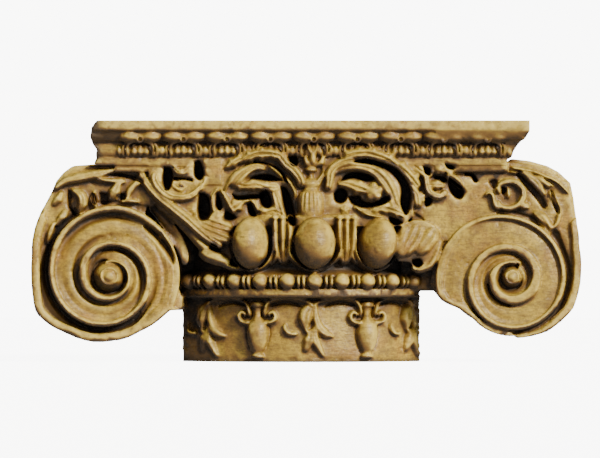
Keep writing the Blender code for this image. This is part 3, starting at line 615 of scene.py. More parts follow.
LEFT_OUTLINE = ((-10.5, 118.5), (-31.5, 111.5), (-37, 109.5), (-44.9, 103.5), (-51.8, 95.5),
                (-56.4, 84.5), (-63.8, 70.5), (-67.3, 64.5), (-71.3, 54.5), (-73.6, 47.5),
                (-76.5, 19.5), (-77, 1.5), (-75.9, -15.5), (-73, -33.5), (-70.1, -38.5),
                (-59.8, -47.5), (-42.6, -56.5), (-31.1, -61.5), (-15, -65.5), (-5.8, -65.5),
                (3.5, -64.5), (20.5, -60.5), (32, -54.5), (43.5, -48.5), (55, -39.5),
                (61.9, -33.5), (74, -33.5))
LEFT_INNER = ((74, -22), (69, -8), (69, 10), (64, 26), (56, 40), (46, 52), (36, 62),
              (40, 76), (66, 84), (66, 114))
RIGHT_OUTLINE = ((4.7, 123), (22.2, 121), (39.9, 116), (51.2, 110), (63.2, 99), (66.2, 84),
                 (69.2, 60.5), (72.2, 36), (74.2, 11), (73.4, 0), (71.2, -11), (66.2, -26),
                 (54.2, -39), (39.9, -49.5), (25.2, -54), (10.2, -56), (4.7, -52),
                 (-4.1, -46.6), (-30.8, -38), (-48.1, -26), (-64.3, -19), (-73.1, -8),
                 (-76.8, -1), (-74, 10), (-76, 30), (-82, 44), (-86, 54))
RIGHT_INNER = ((-95, 54), (-95, 114))

# How each volute winds. Where widths and depths are several, they run from its top inwards.
# The eye is its own radius, that of its button, and how far it stands out.
LEFT_WHORL = {
    "centre": LEFT_VOLUTE, "hand": 1, "outline": LEFT_OUTLINE, "radius": 70, "shrink": 0.5,
    "drift": (1.5, 0.5), "depth": 5.2, "eye": (16.2, 8.4, 6),
    "fillet_width": (5.0, 4.2, 5.0, 8.5, 8.0), "groove_width": (7.6, 5.0, 6.0, 6.0, 5.0),
    "groove_depth": (12, 7, 10, 11, 11),
}
RIGHT_WHORL = {
    "centre": RIGHT_VOLUTE, "hand": -1, "outline": RIGHT_OUTLINE, "radius": 66.5,
    "shrink": 0.53, "drift": (4.7, 5.0), "depth": 3.6, "eye": (11, 6.5, 2.5),
    "fillet_width": (3.4, 4.0, 7.0, 10.0, 7.5), "groove_width": (4.0, 3.5, 5.0, 5.0, 4.0),
    "groove_depth": (3.5, 3, 6.5, 8, 8),
}


def make_volute_plate(centre, outline, inner):
    """The flat plate of a volute, up into the abacus."""
    points = [(centre[0] + a, centre[1] + u) for a, u in outline + inner]
    points.append((centre[0], ABACUS_Z + 3))
    plate(points, BACK_REACH - LAP, PLATE_REACH, FACE_CLAY)


def turn_of(point, hand):
    """Where a point lies round its volute, in turns after the top."""
    return (hand * (atan2(point[1], point[0]) / (2 * pi) - 0.25)) % 1


def edge_radius(outline, hand, turn):
    """How far the plate's edge is from the volute's centre, at a turn after the top."""
    turn %= 1
    for a, b in zip(outline, outline[1:]):
        first = turn_of(a, hand)
        second = turn_of(b, hand)
        if first <= turn <= second:
            share = (turn - first) / max(second - first, 1e-6)
            return hypot(*a) * (1 - share) + hypot(*b) * share
    return WHORL_REACH


def wind(floor, hand, drift, start, end, section_at):
    """A band that winds round a volute. Its section is (distance from centre, height)."""
    count = round((end - start) * STEPS_IN_TURN)
    rings = []
    for i in range(count + 1):
        turn = start + (end - start) * i / count
        angle = 2 * pi * (0.25 + hand * turn)
        share = min(max(turn, 0) / 2, 1)
        rings.append([floor(drift[0] * share + far * cos(angle),
                            drift[1] * share + far * sin(angle), out)
                      for far, out in section_at(turn)])
    loft(rings, FACE_CLAY)


def make_volute(centre, hand, outline, radius, shrink, drift, depth, eye, fillet_width,
                groove_width, groove_depth):
    """One volute: a band that winds in, with a raised fillet along its outer edge, and an eye."""
    floor = on_face(PLATE_REACH, *centre)

    def fillet_radius(turn):
        """How far out the fillet's edge is."""
        far = min(radius * shrink ** turn, WHORL_REACH)
        if turn < 0:
            far = min(far, edge_radius(outline, hand, turn) - 0.4)
        return far

    def whorl(turn):
        """Section of the band with its fillet, which rises at its start and sinks at the eye."""
        outer = fillet_radius(turn)
        inner = max(fillet_radius(turn + 1) if turn < 1.1 else eye[0] + 1.5, eye[0] + 1.5)
        inner = min(inner, outer - 4)
        risen = float(ramp(turn, FIRST_TURN, FIRST_TURN + 0.14))
        fallen = float(ramp(turn, LAST_TURN - 0.3, LAST_TURN))
        inner = outer - (outer - inner) * (0.3 + 0.7 * risen)
        outer = inner + (outer - inner) * (1 - 0.55 * fallen)
        wide = outer - inner
        angle = 0.25 + hand * turn
        above = 0.5 + 0.5 * cos(2 * pi * (angle - 0.13))
        face = 7.4 + risen * (0.6 + depth * (0.45 + 0.3 * turn)) - 0.8 * depth * fallen
        begun = min(max((turn + 0.14) / 0.12, 0.0), 1.0)
        crest = face + 0.9 * depth * begun
        fillet = min(blend(fillet_width, turn / 2), 0.62 * wide)
        edge = outer - fillet
        groove = min(blend(groove_width, turn / 2), 0.26 * wide, (edge - inner) / 3.0)
        cut = blend(groove_depth, turn / 2)
        within = face - cut * (0.15 + 0.85 * above) * begun
        without = face - cut * (0.15 + 0.85 * (1 - above))
        band = face - depth * (0.2 + 1.2 * min(max((turn - 0.95) / 0.2, 0.0), 1.0))
        return ((outer + 0.5, -5), (outer + 0.5, crest - 1.6), (outer - 0.6, crest),
                (edge + 0.7, crest), (edge - 0.2, crest - 1.4),
                (edge - 0.16 * groove, within + 1), (edge - 0.32 * groove, within),
                (edge - 0.8 * groove, within + 0.3), (edge - 1.35 * groove, band - 0.3 * depth),
                (0.5 * (edge + inner), band), (inner + 1.35 * groove, band),
                (inner + groove, band - 0.2 * depth), (inner + groove * 0.8, without + 0.3),
                (inner, without), (inner, -5))

    def rim(turn):
        """Section of the raised rim outside the band."""
        outer = edge_radius(outline, hand, turn) - 0.4
        inner = max(outer - 8.6, radius * shrink ** turn + RIM_GAP)
        return ((outer, -5), (outer, 6), (outer - 1.6, 8), (inner + 2.2, 8.4), (inner, 6),
                (inner, -5))

    wind(floor, hand, drift, FIRST_TURN, LAST_TURN, whorl)
    wind(floor, hand, (0, 0), 0.13, 0.68, rim)
    size, button, eye_depth = eye
    top = 8 + depth * (0.45 + 0.3 * LAST_TURN) + eye_depth
    knob(floor, *drift, 0, (size, top, size), FACE_CLAY)
    line = ellipse_line(button, button, 0, 360, 40)
    shifted = [Vector(drift) + point for point in line]
    ridge(floor, shifted, (1.7, 1.7), (top + 0.2, top + 0.2), FACE_CLAY, tapers=False)
    knob(floor, *drift, top - 1.2, (button * 0.62, 3, button * 0.62), FACE_CLAY)


# Abacus

def abacus_profile():
    """How far each level of the abacus stands out, where its carving has fallen in."""
    return ((ABACUS_Z, 0), (CYMA_Z - 0.8, 0), (CYMA_Z, -1.2), (CYMA_Z + 0.8, -1.2),
            (CYMA_Z + 3, 1.5), (CYMA_Z + 8, 2.6), (CYMA_Z + 12, 2), (CYMA_Z + 15.5, 1),
            (CYMA_Z + 17, 6), (CYMA_Z + 20, 9), (CYMA_Z + 25, 12.5), (CYMA_Z + 25.8, 11.5),
            (TOP_FILLET_Z + 0.2, 16.5), (TOP_FILLET_Z + 1, 18), (TOP_Z + LAP, 18))


def plain_profile():
    """The same moulding, uncarved, as it shows on its return at the right."""
    return ((CYMA_Z - 1, -2), (CYMA_Z + 1, 0.8), (CYMA_Z + 6.6, 2.4), (CYMA_Z + 13, 6.4),
            (CYMA_Z + 19, 12), (CYMA_Z + 26, 18), (TOP_Z + LAP, 18))


def slab(profile, left, right, returns, clay):
    """A moulding between two ends. Its right end may return at the same profile."""
    back = AXIS_Y - BACK_REACH + LAP
    rings = []
    for level, out in profile:
        front = AXIS_Y - ABACUS_REACH - out
        turn = out if returns else 0
        rings.append([Vector((AXIS_X + x, y, level)) * MM for x, y in
                      ((left, back), (left, front), (right + turn, front),
                       (right + turn, back))])
    loft(rings, clay)


def make_abacus():
    """The moulded slab: carved in front, plain at its right end, and worn smooth near it."""
    slab(abacus_profile(), ABACUS_LEFT - 3, ABACUS_RIGHT - 4, False, FACE_CLAY)
    slab(plain_profile(), ABACUS_RIGHT - 6, ABACUS_RIGHT, True, FACE_CLAY)
    top = ((CYMA_Z + 15, 3), (CYMA_Z + 18, 12.5), (CYMA_Z + 22, 15.5), (CYMA_Z + 26, 17.5),
           (TOP_Z + LAP, 18))
    slab(top, WORN_FROM, ABACUS_RIGHT, True, FACE_CLAY)
    slab(((ABACUS_Z, -1), (TOP_Z + LAP, -1)), -214, ABACUS_LEFT + 6, False, FACE_CLAY)


# Frieze

def make_ground():
    """Grounds of the frieze, its border band, and webs between drum and volutes."""
    back = BACK_REACH - LAP
    middle = ((-152, CYMA_Z - 2), (-152, 186), (-140, 167), (-124, 152), (-108, 139),
              (-96, EGGS_TOP - 8), (100, EGGS_TOP - 8), (112, 146), (112, CYMA_Z - 2))
    plate(middle, back, MIDDLE_REACH, FACE_CLAY)
    block(-186, 206, BORDER_Z, ABACUS_Z + 2, back, BORDER_REACH, FACE_CLAY)
    block(-160, -96, FILLET_TOP - 2, EGGS_TOP + 22, back, WEB_REACH, FACE_CLAY)
    block(100, 142, FILLET_TOP - 2, EGGS_TOP + 8, back, WEB_REACH + 14, FACE_CLAY)


def make_central_vase():
    """The fluted vase over the middle egg, with a bud for a finial."""
    place = on_face(VASE_REACH, VASE_ACROSS, EGGS_TOP)
    profile = ((2, 51), (5.6, 49.5), (6.6, 47), (3, 45.6), (2.2, 43), (3.2, 41.5), (2.4, 39.5),
               (7.4, 37.5), (8.8, 34), (6.4, 30), (7.4, 28), (9.2, 24), (10.4, 16), (12.6, 5),
               (11, 1), (10, -4))
    turned(place, profile, FACE_CLAY, 48)
    bud = on_face(ABACUS_REACH + 2)
    knob(bud, 11.7, 204, 0, (3.4, 7, 8.4), FACE_CLAY)
    for side, far in ((-1, 6), (1, 8.4)):
        petal = smooth(((11.7 + side, 196), (11.7 + side * far, 199),
                        (11.7 + side * (far + 2), 206)), 5)
        ridge(bud, petal, (1.6, 2.8, 1.2), (2, 6, 5), FACE_CLAY, LEAF_SECTION)
        hook = smooth(((11.7 + side * 1.5, 208), (11.7 + side * 4.5, 216),
                       (11.7 + side * 2.5, 224), (11.7, 225)), 5)
        ridge(bud, hook, (1.4, 1.5, 1.2), (6, 8, 10), FACE_CLAY)


# Each stem: points across and up, half widths, rises
STEMS = (
    (((-2, 174), (-0.4, 181), (-7, 191), (-14.5, 197), (-23, 208)), (4.6, 5.4, 4.8),
     (17, 21, 22)),
    (((-35.5, 193.5), (-46, 195), (-56, 190), (-64, 183), (-69, 175)),
     (3.2, 5.5, 8.0, 7.5), (15, 17, 18, 16)),
    (((-97, 178), (-102.5, 172), (-110, 166), (-120, 164), (-131, 166), (-141, 174),
      (-146, 183), (-144, 190)), (3.2, 4.2, 4.6, 4.0), (14, 17, 16, 12)),
    (((26, 171), (28, 180), (30, 191), (40, 199), (54.6, 202)), (3.8, 4.8, 4.6), (17, 19, 20)),
    (((29, 178), (32, 188), (40, 193), (53, 195.4), (69, 192.5), (79, 186), (86, 177),
      (91, 167), (95, 156), (104, 147)), (3.0, 4.0, 5.4, 8.0, 6.6, 4.6),
     (14, 17, 18, 18, 16, 13)),
    (((-27, 171), (-23, 157), (-18, 143)), (4.2, 5.4, 5.6), (13, 16, 17)),
    (((101, 183), (109, 174), (115, 167), (117, 154)), (3.0, 4.2, 4.0), (10, 13, 11)),
    (((124.6, 189), (125.6, 177), (129, 169), (138.6, 165.4), (145.5, 171)),
     (2.6, 3.6, 4.0, 3.0), (11, 13, 14, 11)),
    (((145, 188), (155, 181), (161, 173)), (4.0, 4.4, 2.4), (10, 12, 9)),
    (((6, 212), (8, 200), (5, 190)), (2.2, 2.8, 2.0), (13, 14, 11)),
    (((13, 168), (17, 179), (24, 189)), (2.4, 3.4, 2.6), (13, 16, 14)),
)

# Each blade, thin and keeled
BLADES = (
    (((-8, 161), (-6, 169), (-13, 181), (-24, 190), (-35, 199)), (2.2, 3.4, 3.8, 1.8),
     (14, 18, 21, 17)),
    (((-111, 161), (-102, 170), (-94, 185)), (2.4, 2.8, 1.8), (13, 15, 13)),
    (((-83, 174), (-89, 164), (-88.5, 155), (-84, 148)), (2.8, 3.8, 2.8), (15, 16, 15)),
    (((-81, 173), (-76, 166), (-71, 156), (-66, 147)), (3.6, 5.0, 5.0), (15, 17, 16)),
    (((-76, 170), (-72, 178), (-66, 186)), (1.8, 2.6, 1.8), (15, 17, 16)),
    (((-64, 158), (-57, 161), (-50, 162.4), (-46, 157), (-43, 149.5)), (5.5, 5.5, 4.0, 2.4),
     (14, 17, 17, 14)),
    (((-36, 174), (-32, 168), (-29, 163)), (1.4, 2.2, 1.4), (14, 16, 12)),
    (((52, 157), (60, 151), (69, 146.6), (84, 144.6)), (3.4, 4.6, 3.4), (14, 17, 15)),
    (((17, 183), (22, 190), (20, 200)), (1.8, 2.6, 1.4), (12, 15, 12)),
)

# Each leaf: points, half widths, rises, number of lobes on a side
LEAVES = (
    (((-19, 206), (-30, 208), (-42, 208), (-52, 205), (-60, 200)), (5.4, 7.6, 6.6, 4.4),
     (22, 23, 22, 19), 3),
    (((-58, 204), (-66, 200), (-76, 192)), (4.4, 5.6, 3.2), (18, 19, 15), 2),
    (((-66, 178), (-56, 176), (-45, 177), (-34, 174), (-22, 174)), (5.6, 6.4, 6.4, 5.0),
     (15, 17, 17, 14), 3),
    (((-73, 150), (-66, 155), (-57, 162)), (6.0, 7.4, 5.0), (14, 16, 15), 2),
    (((-38, 147), (-28, 151), (-18, 147)), (4.6, 6.0, 4.6), (14, 17, 16), 2),
    (((-128, 178), (-121, 174), (-114, 177)), (3.4, 5.4, 3.4), (11, 14, 11), 2),
    (((-130, 197), (-120, 189), (-110, 197)), (3.4, 5.0, 3.4), (12, 14, 12), 2),
    (((42, 205), (54, 208), (68, 208), (84, 203), (97, 195)), (5.0, 7.8, 8.4, 7.0),
     (20, 22, 22, 18), 4),
    (((94, 199), (103, 191), (112, 182), (118, 174)), (6.6, 8.4, 6.4, 4.0), (15, 16, 14, 11), 2),
    (((36, 178), (46, 178), (58, 174), (68, 171)), (4.6, 7.0, 7.6, 7.0), (14, 16, 17, 17), 2),
    (((70, 153), (82, 154), (94, 151), (105, 146)), (5.6, 7.0, 6.4, 4.0), (14, 16, 16, 14), 3),
    (((124, 176), (134, 177), (143, 176)), (3.4, 5.4, 3.6), (10, 13, 11), 2),
    (((112, 197), (122, 190), (132, 188)), (4.4, 6.0, 4.4), (10, 12, 11), 2),
)

# Half acanthus leaves that run from the volutes down to the outer eggs, and their beds
CORNER_RIDGES = (
    (((-160, 192), (-157, 183), (-144, 167), (-128, 154), (-113, 142), (-99, 129),
      (-89, 121), (-78, 115)), (3.4, 4.4, 5.2, 5.8, 6.2, 5.8, 4.6, 3.4),
     (6, 9, 14, 18, 20, 21, 21, 20), LEAF_SECTION),
    (((-144, 158), (-128, 146), (-113, 132), (-101, 119), (-92, 112)),
     (2.4, 3.4, 4.4, 5.0, 4.0), (2, 5, 10, 15, 16), ROUND_SECTION),
    (((-150, 157), (-136, 141), (-124, 124), (-117, 108), (-116, 97)),
     (4.0, 5.2, 5.6, 5.0, 2.6), (-10, -7, -3, 0, 0), ROUND_SECTION),
    (((-109, 148), (-97, 143), (-84, 138), (-68, 133)), (5, 7, 7.5, 6), (12, 18, 21, 20),
     LEAF_SECTION),
    (((-110, 141), (-98, 133), (-84, 127), (-68, 121)), (5, 6.5, 7.5, 6), (14, 20, 22, 21),
     LEAF_SECTION),
    (((-101, 112), (-93, 107), (-82, 103), (-71, 99)), (5, 7, 7, 5), (12, 18, 20, 19),
     ROUND_SECTION),
    (((-80, 99), (-68, 94), (-56, 92)), (3.2, 2.6, 1.6), (17, 16, 12), ROUND_SECTION),
    (((107, 139), (104, 128), (100, 116), (100, 104)), (6, 8, 9, 7), (9, 12, 15, 14),
     ROUND_SECTION),
    (((118, 138), (114, 127), (108, 116), (103, 106)), (8, 10, 9, 6), (10, 13, 16, 15),
     LEAF_SECTION),
    (((134, 134), (129, 125), (122, 115), (115, 108)), (7, 10, 9, 6), (9, 13, 14, 12),
     LEAF_SECTION),
    (((139, 124), (135, 108), (128, 96), (118, 92), (110, 95)), (3.6, 3.6, 3.4, 3.2, 2.4),
     (6, 9, 10, 9, 7), ROUND_SECTION),
)
CORNER_SINK = 45.0
CORNER_BEDS = (
    ((-116, 148), (-92, 150), (-68, 146), (-66, 112), (-72, 97), (-84, 98), (-101, 110),
     (-112, 132)),
    ((104, 138), (112, 142), (124, 141), (134, 136), (137, 122), (132, 104), (124, 95),
     (116, 93), (108, 100), (97, 101), (93, 108), (98, 122)),
)

# Each small flower: across, up, how far out, size
BUDS = (
    (-83, 146, 15, 6.2), (-37.4, 151.4, 13, 4.8), (72.5, 170, 14, 9.5), (44, 151.5, 11, 5.0),
    (119.5, 165, 8, 5.4), (138.5, 193, 9, 6.0), (-108, 152, 8, 7.0), (-119.5, 189, 11, 3.6),
)


def make_rosette(place, across, up, out, size):
    """A small flower: petals round a middle."""
    petals = 5
    knob(place, across, up, out - 1, (size * 0.5, 4, size * 0.5), FACE_CLAY)
    for i in range(petals):
        angle = 2 * pi * (i + 0.25) / petals
        knob(place, across + 0.62 * size * cos(angle), up + 0.62 * size * sin(angle), out - 2.5,
             (size * 0.42, 4, size * 0.42), FACE_CLAY)


def make_frieze():
    """Acanthus scrolls on both sides of the vase."""
    place = on_face(FRIEZE_REACH)
    for points, widths, rises in STEMS:
        ridge(place, smooth(points, 6), widths, rises, FACE_CLAY, STEM_SECTION)
    for points, widths, rises in BLADES:
        ridge(place, smooth(points, 6), widths, rises, FACE_CLAY, KEEL_SECTION)
    for points, widths, rises, lobes in LEAVES:
        leaf(place, points, widths, rises, FACE_CLAY, lobes)
    for points, widths, rises, section in CORNER_RIDGES:
        ridge(place, smooth(points, 6), widths, rises, FACE_CLAY, section, CORNER_SINK)
    for outline in CORNER_BEDS:
        plate(outline, BACK_REACH, FRIEZE_REACH + 7, FACE_CLAY)
    for across, up, out, size in BUDS:
        make_rosette(place, across, up, out, size)
    # Ground that stays between two leaves of the left scroll
    block(-97, -79, 177, 204, BACK_REACH, FRIEZE_REACH + 11, FACE_CLAY)


# Foliage in the upper outer corners, low on the volute plates
LEFT_CORNER = (
    (((-184, 192), (-201, 188), (-222, 184), (-236, 180), (-246, 172)), (2, 4.6, 5.4, 4.2, 2.4),
     (9, 12, 13, 12, 9)),
    (((-206, 183), (-190, 181), (-176, 182)), (1.6, 2.4, 1.6), (10, 12, 10)),
    (((-229, 172), (-220, 167), (-218, 158), (-223, 148)), (2.4, 5.0, 5.4, 2.4),
     (7, 11, 11, 7)),
    (((-206, 171), (-208, 162), (-202, 152)), (1.8, 2.4, 1.6), (8, 10, 8)),
    (((-191, 161), (-186, 170), (-182, 178), (-175, 181)), (3.4, 6.0, 3.4, 1.6),
     (8, 12, 11, 9)),
    (((-180, 160), (-172, 161), (-162, 160)), (2.0, 2.4, 1.8), (9, 11, 9)),
    (((-175, 162), (-170, 172), (-163, 180), (-158, 188)), (2.0, 3.6, 3.6, 3.0),
     (8, 10, 11, 10)),
    (((-248, 156), (-242, 163), (-238, 171)), (2.6, 4.4, 2.4), (5, 9, 6)),
    (((-244, 136), (-238, 145), (-234, 152)), (2.6, 4.4, 2.4), (5, 9, 6)),
    (((-262, 128), (-259, 142), (-255, 152)), (1.8, 2.4, 1.8), (6, 8, 6)),
    (((-253, 118), (-250, 130), (-246, 140)), (1.8, 2.6, 1.8), (6, 8, 6)),
)
RIGHT_CORNER = (
    (((209, 194.5), (230, 191), (243, 186), (255.5, 180), (267, 169)), (1.4, 1.7, 1.4),
     (10, 10.5, 10)),
    (((207, 190), (228, 187), (241, 182), (252, 175.5)), (1.0, 1.2, 1.0), (9.4, 10, 9.4)),
    (((196, 161), (200, 155), (209, 153.5), (219, 159), (222, 170), (215, 179), (204, 180),
      (197, 175), (197, 168)), (2.0, 3.0, 3.4, 3.2, 2.2), (9, 12, 12, 11, 9)),
    (((184, 165), (186, 169), (190.5, 168), (192.4, 162), (193.7, 156), (199, 153)),
     (1.4, 1.8, 2.2, 2.4), (8, 11, 11, 10)),
    (((216, 160), (222, 156), (228, 156)), (2.6, 4.0, 3.4), (9, 12, 10)),
    (((219, 189), (228, 184), (236, 177), (243, 166)), (3.0, 5.4, 5.4, 2.6), (9, 12, 12, 9)),
    (((230, 186), (240, 182), (248, 174)), (1.6, 2.6, 2.0), (10, 13, 11)),
    (((248, 171), (254, 160), (258, 150), (255, 138), (246, 130)), (2.0, 2.4, 2.4, 2.0, 1.4),
     (8.5, 9.5, 9, 8.5, 8)),
    (((232, 150), (240, 144), (246, 134), (243, 124)), (3.0, 6.0, 6.0, 3.0), (7, 10, 10, 8)),
    (((202, 178), (207, 170), (206, 163)), (1.6, 2.4, 1.6), (6, 9, 8)),
)


# Low beds of that foliage, from each volute's centre
LEFT_BED = ((-10, 119), (-30, 110), (-43, 102), (-55, 86), (-68, 62), (-74, 44), (-70, 20),
            (-62, 44), (-46, 62), (-20, 75), (10, 76), (44, 70), (60, 86), (60, 112))
RIGHT_BED = ((6, 120), (38, 114), (60, 99), (64, 84), (68, 50), (72, 20), (67, -5), (62, 20),
             (52, 50), (30, 64), (0, 73), (-38, 60), (-62, 40), (-84, 64), (-93, 70),
             (-93, 112))


def make_corners():
    """Foliage on a low bed above each volute."""
    place = on_face(PLATE_REACH)
    for points, widths, rises in LEFT_CORNER + RIGHT_CORNER:
        ridge(place, smooth(points, 6), widths, rises, FACE_CLAY, LEAF_SECTION)
    for centre, bed, raised in ((LEFT_VOLUTE, LEFT_BED, 2), (RIGHT_VOLUTE, RIGHT_BED, 3)):
        outline = [(centre[0] + a, centre[1] + u) for a, u in bed]
        plate(outline, BACK_REACH, PLATE_REACH + raised, FACE_CLAY)


# The skin, and the chisels that work it

def fuse():
    """All the clay as one skin."""
    rest = bpy.data.meshes.new("round clay")
    ROUND_CLAY.to_mesh(rest)
    FACE_CLAY.from_mesh(rest)
    mesh = bpy.data.meshes.new("clay")
    FACE_CLAY.to_mesh(mesh)
    made = bpy.data.objects.new("clay", mesh)
    bpy.context.scene.collection.objects.link(made)
    grid = made.modifiers.new("fuse", 'REMESH')
    grid.mode = 'VOXEL'
    grid.voxel_size = GRAIN * MM
    soften = made.modifiers.new("soften", 'SMOOTH')
    soften.factor = 0.5
    soften.iterations = 2
    return as_mesh(made)


def as_mesh(made):
    """The evaluated mesh of an object, which is then removed."""
    graph = bpy.context.evaluated_depsgraph_get()
    flat = bpy.data.meshes.new_from_object(made.evaluated_get(graph))
    bpy.data.objects.remove(made, do_unlink=True)
    return flat


def read(data, field, width):
    """A field of a mesh as an array, one row for each item."""
    values = np.empty(len(data) * width, np.float32)
    data.foreach_get(field, values)
    return values.reshape(-1, width).astype(float)


def cloud(points, size, seed):
    """Soft random values from -1 to 1. The size is that of one blotch."""
    side = 32
    lattice = np.random.default_rng(NOISE_SEED + seed).uniform(-1, 1, (side, side, side))
    cell = points / size
    low = np.floor(cell).astype(int)
    share = cell - low
    share = share * share * (3 - 2 * share)
    total = np.zeros(len(points))
    for corner in np.ndindex(2, 2, 2):
        weight = np.prod(np.where(corner, share, 1 - share), axis=1)
        x, y, z = ((low + corner) % side).T
        total += weight * lattice[x, y, z]
    return total


def ramp(value, start, end):
    """0 before start, 1 after end, and smooth between."""
    share = np.clip((value - start) / (end - start), 0, 1)
    return share * share * (3 - 2 * share)


def front_path(line, place):
    """A line as it is seen from the front: across and up, in millimetres."""
    spots = [place(*point) for point in line]
    return np.array([(p.x / MM - AXIS_X, p.z / MM) for p in spots])


class Skin:
    """The fused surface as arrays: where its points are, and how far each is pushed out."""

    def __init__(self, mesh):
        """Take the points from a mesh."""
        self.mesh = mesh
        self.points = read(mesh.vertices, "co", 3) / MM
        self.push = np.zeros(len(self.points))
        self.measure()

    def measure(self):
        """Take the normals, and each point's place from the column axis."""
        self.normals = read(self.mesh.vertex_normals, "vector", 3)
        self.across = self.points[:, 0] - AXIS_X
        self.up = self.points[:, 2]
        self.reach = AXIS_Y - self.points[:, 1]

    def near(self, path, margin, deepest):
        """Points in front that lie near a path, how far from it, and how far along it."""
        low = path.min(0) - margin
        high = path.max(0) + margin
        inside = np.flatnonzero((self.across > low[0]) & (self.across < high[0])
                                & (self.up > low[1]) & (self.up < high[1])
                                & (self.reach > deepest) & (self.normals[:, 1] < -0.15))
        here = np.stack((self.across[inside], self.up[inside]), 1)
        nearest = np.full(len(inside), np.inf)
        along = np.zeros(len(inside))
        walked = 0.0
        for a, b in zip(path, path[1:]):
            run = b - a
            length = np.hypot(*run)
            share = np.clip(((here - a) @ run) / max(length ** 2, 1e-9), 0, 1)
            away = np.hypot(*(here - a - share[:, None] * run).T)
            closer = away < nearest
            nearest[closer] = away[closer]
            along[closer] = walked + share[closer] * length
            walked += length
        return inside, nearest, along / walked

    def groove(self, line, place, half_width, depth, deepest):
        """Cut a rounded groove along a line, in what stands out further than deepest."""
        path = front_path(line, place)
        inside, away, along = self.near(path, half_width + 1, deepest)
        shape = np.clip(1 - (away / half_width) ** 2, 0, 1) ** 2
        ends = ramp(np.minimum(along, 1 - along), -0.02, 0.12)
        self.push[inside] -= depth * shape * ends

    def hole(self, outline, place, depth, edge, deepest):
        """Sink what lies within a closed outline. Its edge is how wide the slope is."""
        path = front_path(outline + outline[:1], place)
        inside, away, _ = self.near(path, 1, deepest)
        x = self.across[inside]
        y = self.up[inside]
        odd = np.zeros(len(inside), bool)
        for (ax, ay), (bx, by) in zip(path, path[1:]):
            if ay != by:
                odd ^= ((ay > y) != (by > y)) & (x < (bx - ax) * (y - ay) / (by - ay) + ax)
        self.push[inside] -= np.where(odd, depth * ramp(away, 0, edge), 0)

    def settle(self):
        """Move the points by what was pushed so far."""
        self.points[:, 1] -= self.push
        self.push[:] = 0
        self.write()

    def write(self):
        """Put the points back into the mesh, held inside the box of the solid."""
        self.points = np.clip(self.points, LOW, HIGH)
        self.mesh.vertices.foreach_set("co", (self.points * MM).astype(np.float32).ravel())
        self.mesh.update()
        self.measure()


# Chisels on the frieze and the volutes leave what lies further back than this
CHISEL_FROM = 120.0

# Each hole through to the dark ground: closed outline, across and up
HOLE_DEPTH = 24.0
HOLES = (
    ((-137, 196), (-129, 194), (-127, 184), (-131, 172), (-137, 172), (-139, 184)),
    ((-128, 186), (-121, 185), (-110, 184), (-108, 180), (-117, 181.5), (-127, 181)),
    ((-107, 200), (-101, 202), (-97, 194), (-96, 186), (-101, 181), (-107, 186)),
    ((-102, 170), (-94, 168), (-90, 160), (-90, 146), (-95, 141), (-102, 142), (-104, 154)),
    ((-84, 171), (-80, 164), (-78, 154), (-82, 151), (-85.5, 157)),
    ((-55, 182), (-46, 187), (-33, 188.5), (-22, 184), (-18, 181), (-30, 180.5), (-44, 181.5)),
    ((-70, 169), (-62, 166.5), (-50, 168), (-40, 168), (-36, 164), (-44, 162.5), (-58, 161),
     (-66, 162)),
    ((-54, 158), (-50, 160), (-46, 152), (-44, 146), (-49, 145), (-53, 149)),
    ((-21, 176), (-14, 174), (-8, 160), (-5, 138), (-12, 137), (-17, 152)),
    ((-66, 190), (-56, 197), (-42, 201), (-28, 197), (-17, 189), (-12, 178), (-17, 181),
     (-25, 192), (-40, 198), (-54, 196)),
    ((-13, 206), (-4, 206), (-3, 197), (-8, 195), (-12, 199)),
    ((-76, 152), (-70, 150), (-64, 144), (-72, 141), (-77, 144)),
    ((-42, 170), (-34, 173), (-29, 164), (-29, 156), (-35, 153), (-41, 158)),
    ((36, 179), (46, 189), (58, 190.5), (70, 187), (74, 182), (64, 180), (52, 183), (43, 180.5)),
    ((48, 200), (64, 204), (82, 200), (96, 194), (106, 182), (111, 168), (108, 150), (103, 147),
     (98, 158), (99, 174), (91, 187), (78, 195), (60, 198)),
    ((32, 169), (37, 174), (43, 174), (47, 168), (45, 161), (39, 158), (33, 161)),
    ((46, 166), (58, 167), (62, 162), (72, 160), (84, 166), (89, 166), (88, 160), (74, 154),
     (60, 154), (50, 158)),
    ((87, 146), (96, 144), (102, 139), (94, 136), (88, 140)),
    ((147, 186), (156, 180), (163, 172), (161, 163), (153, 164), (147, 174)),
    ((123, 164), (131, 166), (130, 158), (124, 155)),
    ((142, 199), (152, 197), (153, 192), (146, 193)),
    ((163, 190), (172, 189), (177, 181), (173, 179), (169, 185), (163, 186)),
    ((132, 187), (144, 185), (145, 179), (134, 182)),
    ((121, 196), (129, 194), (129, 186), (123, 188)),
    ((-90, 120), (-84, 117), (-80, 110), (-86, 110), (-91, 114)),
    ((110, 103), (119, 104), (122, 98), (117, 94), (111, 97)),
)

# Shallower holes in the foliage of the corners
CORNER_HOLE_DEPTH = 7.0
CORNER_HOLES = (
    ((-233, 173), (-228, 168), (-229, 156), (-223, 147), (-227, 147), (-233, 156)),
    ((-209, 170), (-205, 168), (-204, 158), (-208, 157), (-211, 163)),
    ((-202, 170), (-193, 168), (-192, 158), (-200, 158)),
    ((-181, 169), (-175, 168), (-175, 162), (-181, 162)),
    ((-196, 187), (-180, 189), (-160, 184), (-158, 178), (-176, 184)),
    ((213, 190), (221, 188), (238, 170), (246, 156), (241, 153), (232, 166), (221, 178)),
    ((248, 173), (252, 170), (259, 152), (256, 148), (250, 160)),
    ((186, 180), (194, 183), (197, 176), (191, 174)),
    ((200, 176), (206, 174), (204, 168), (200, 168)),
)

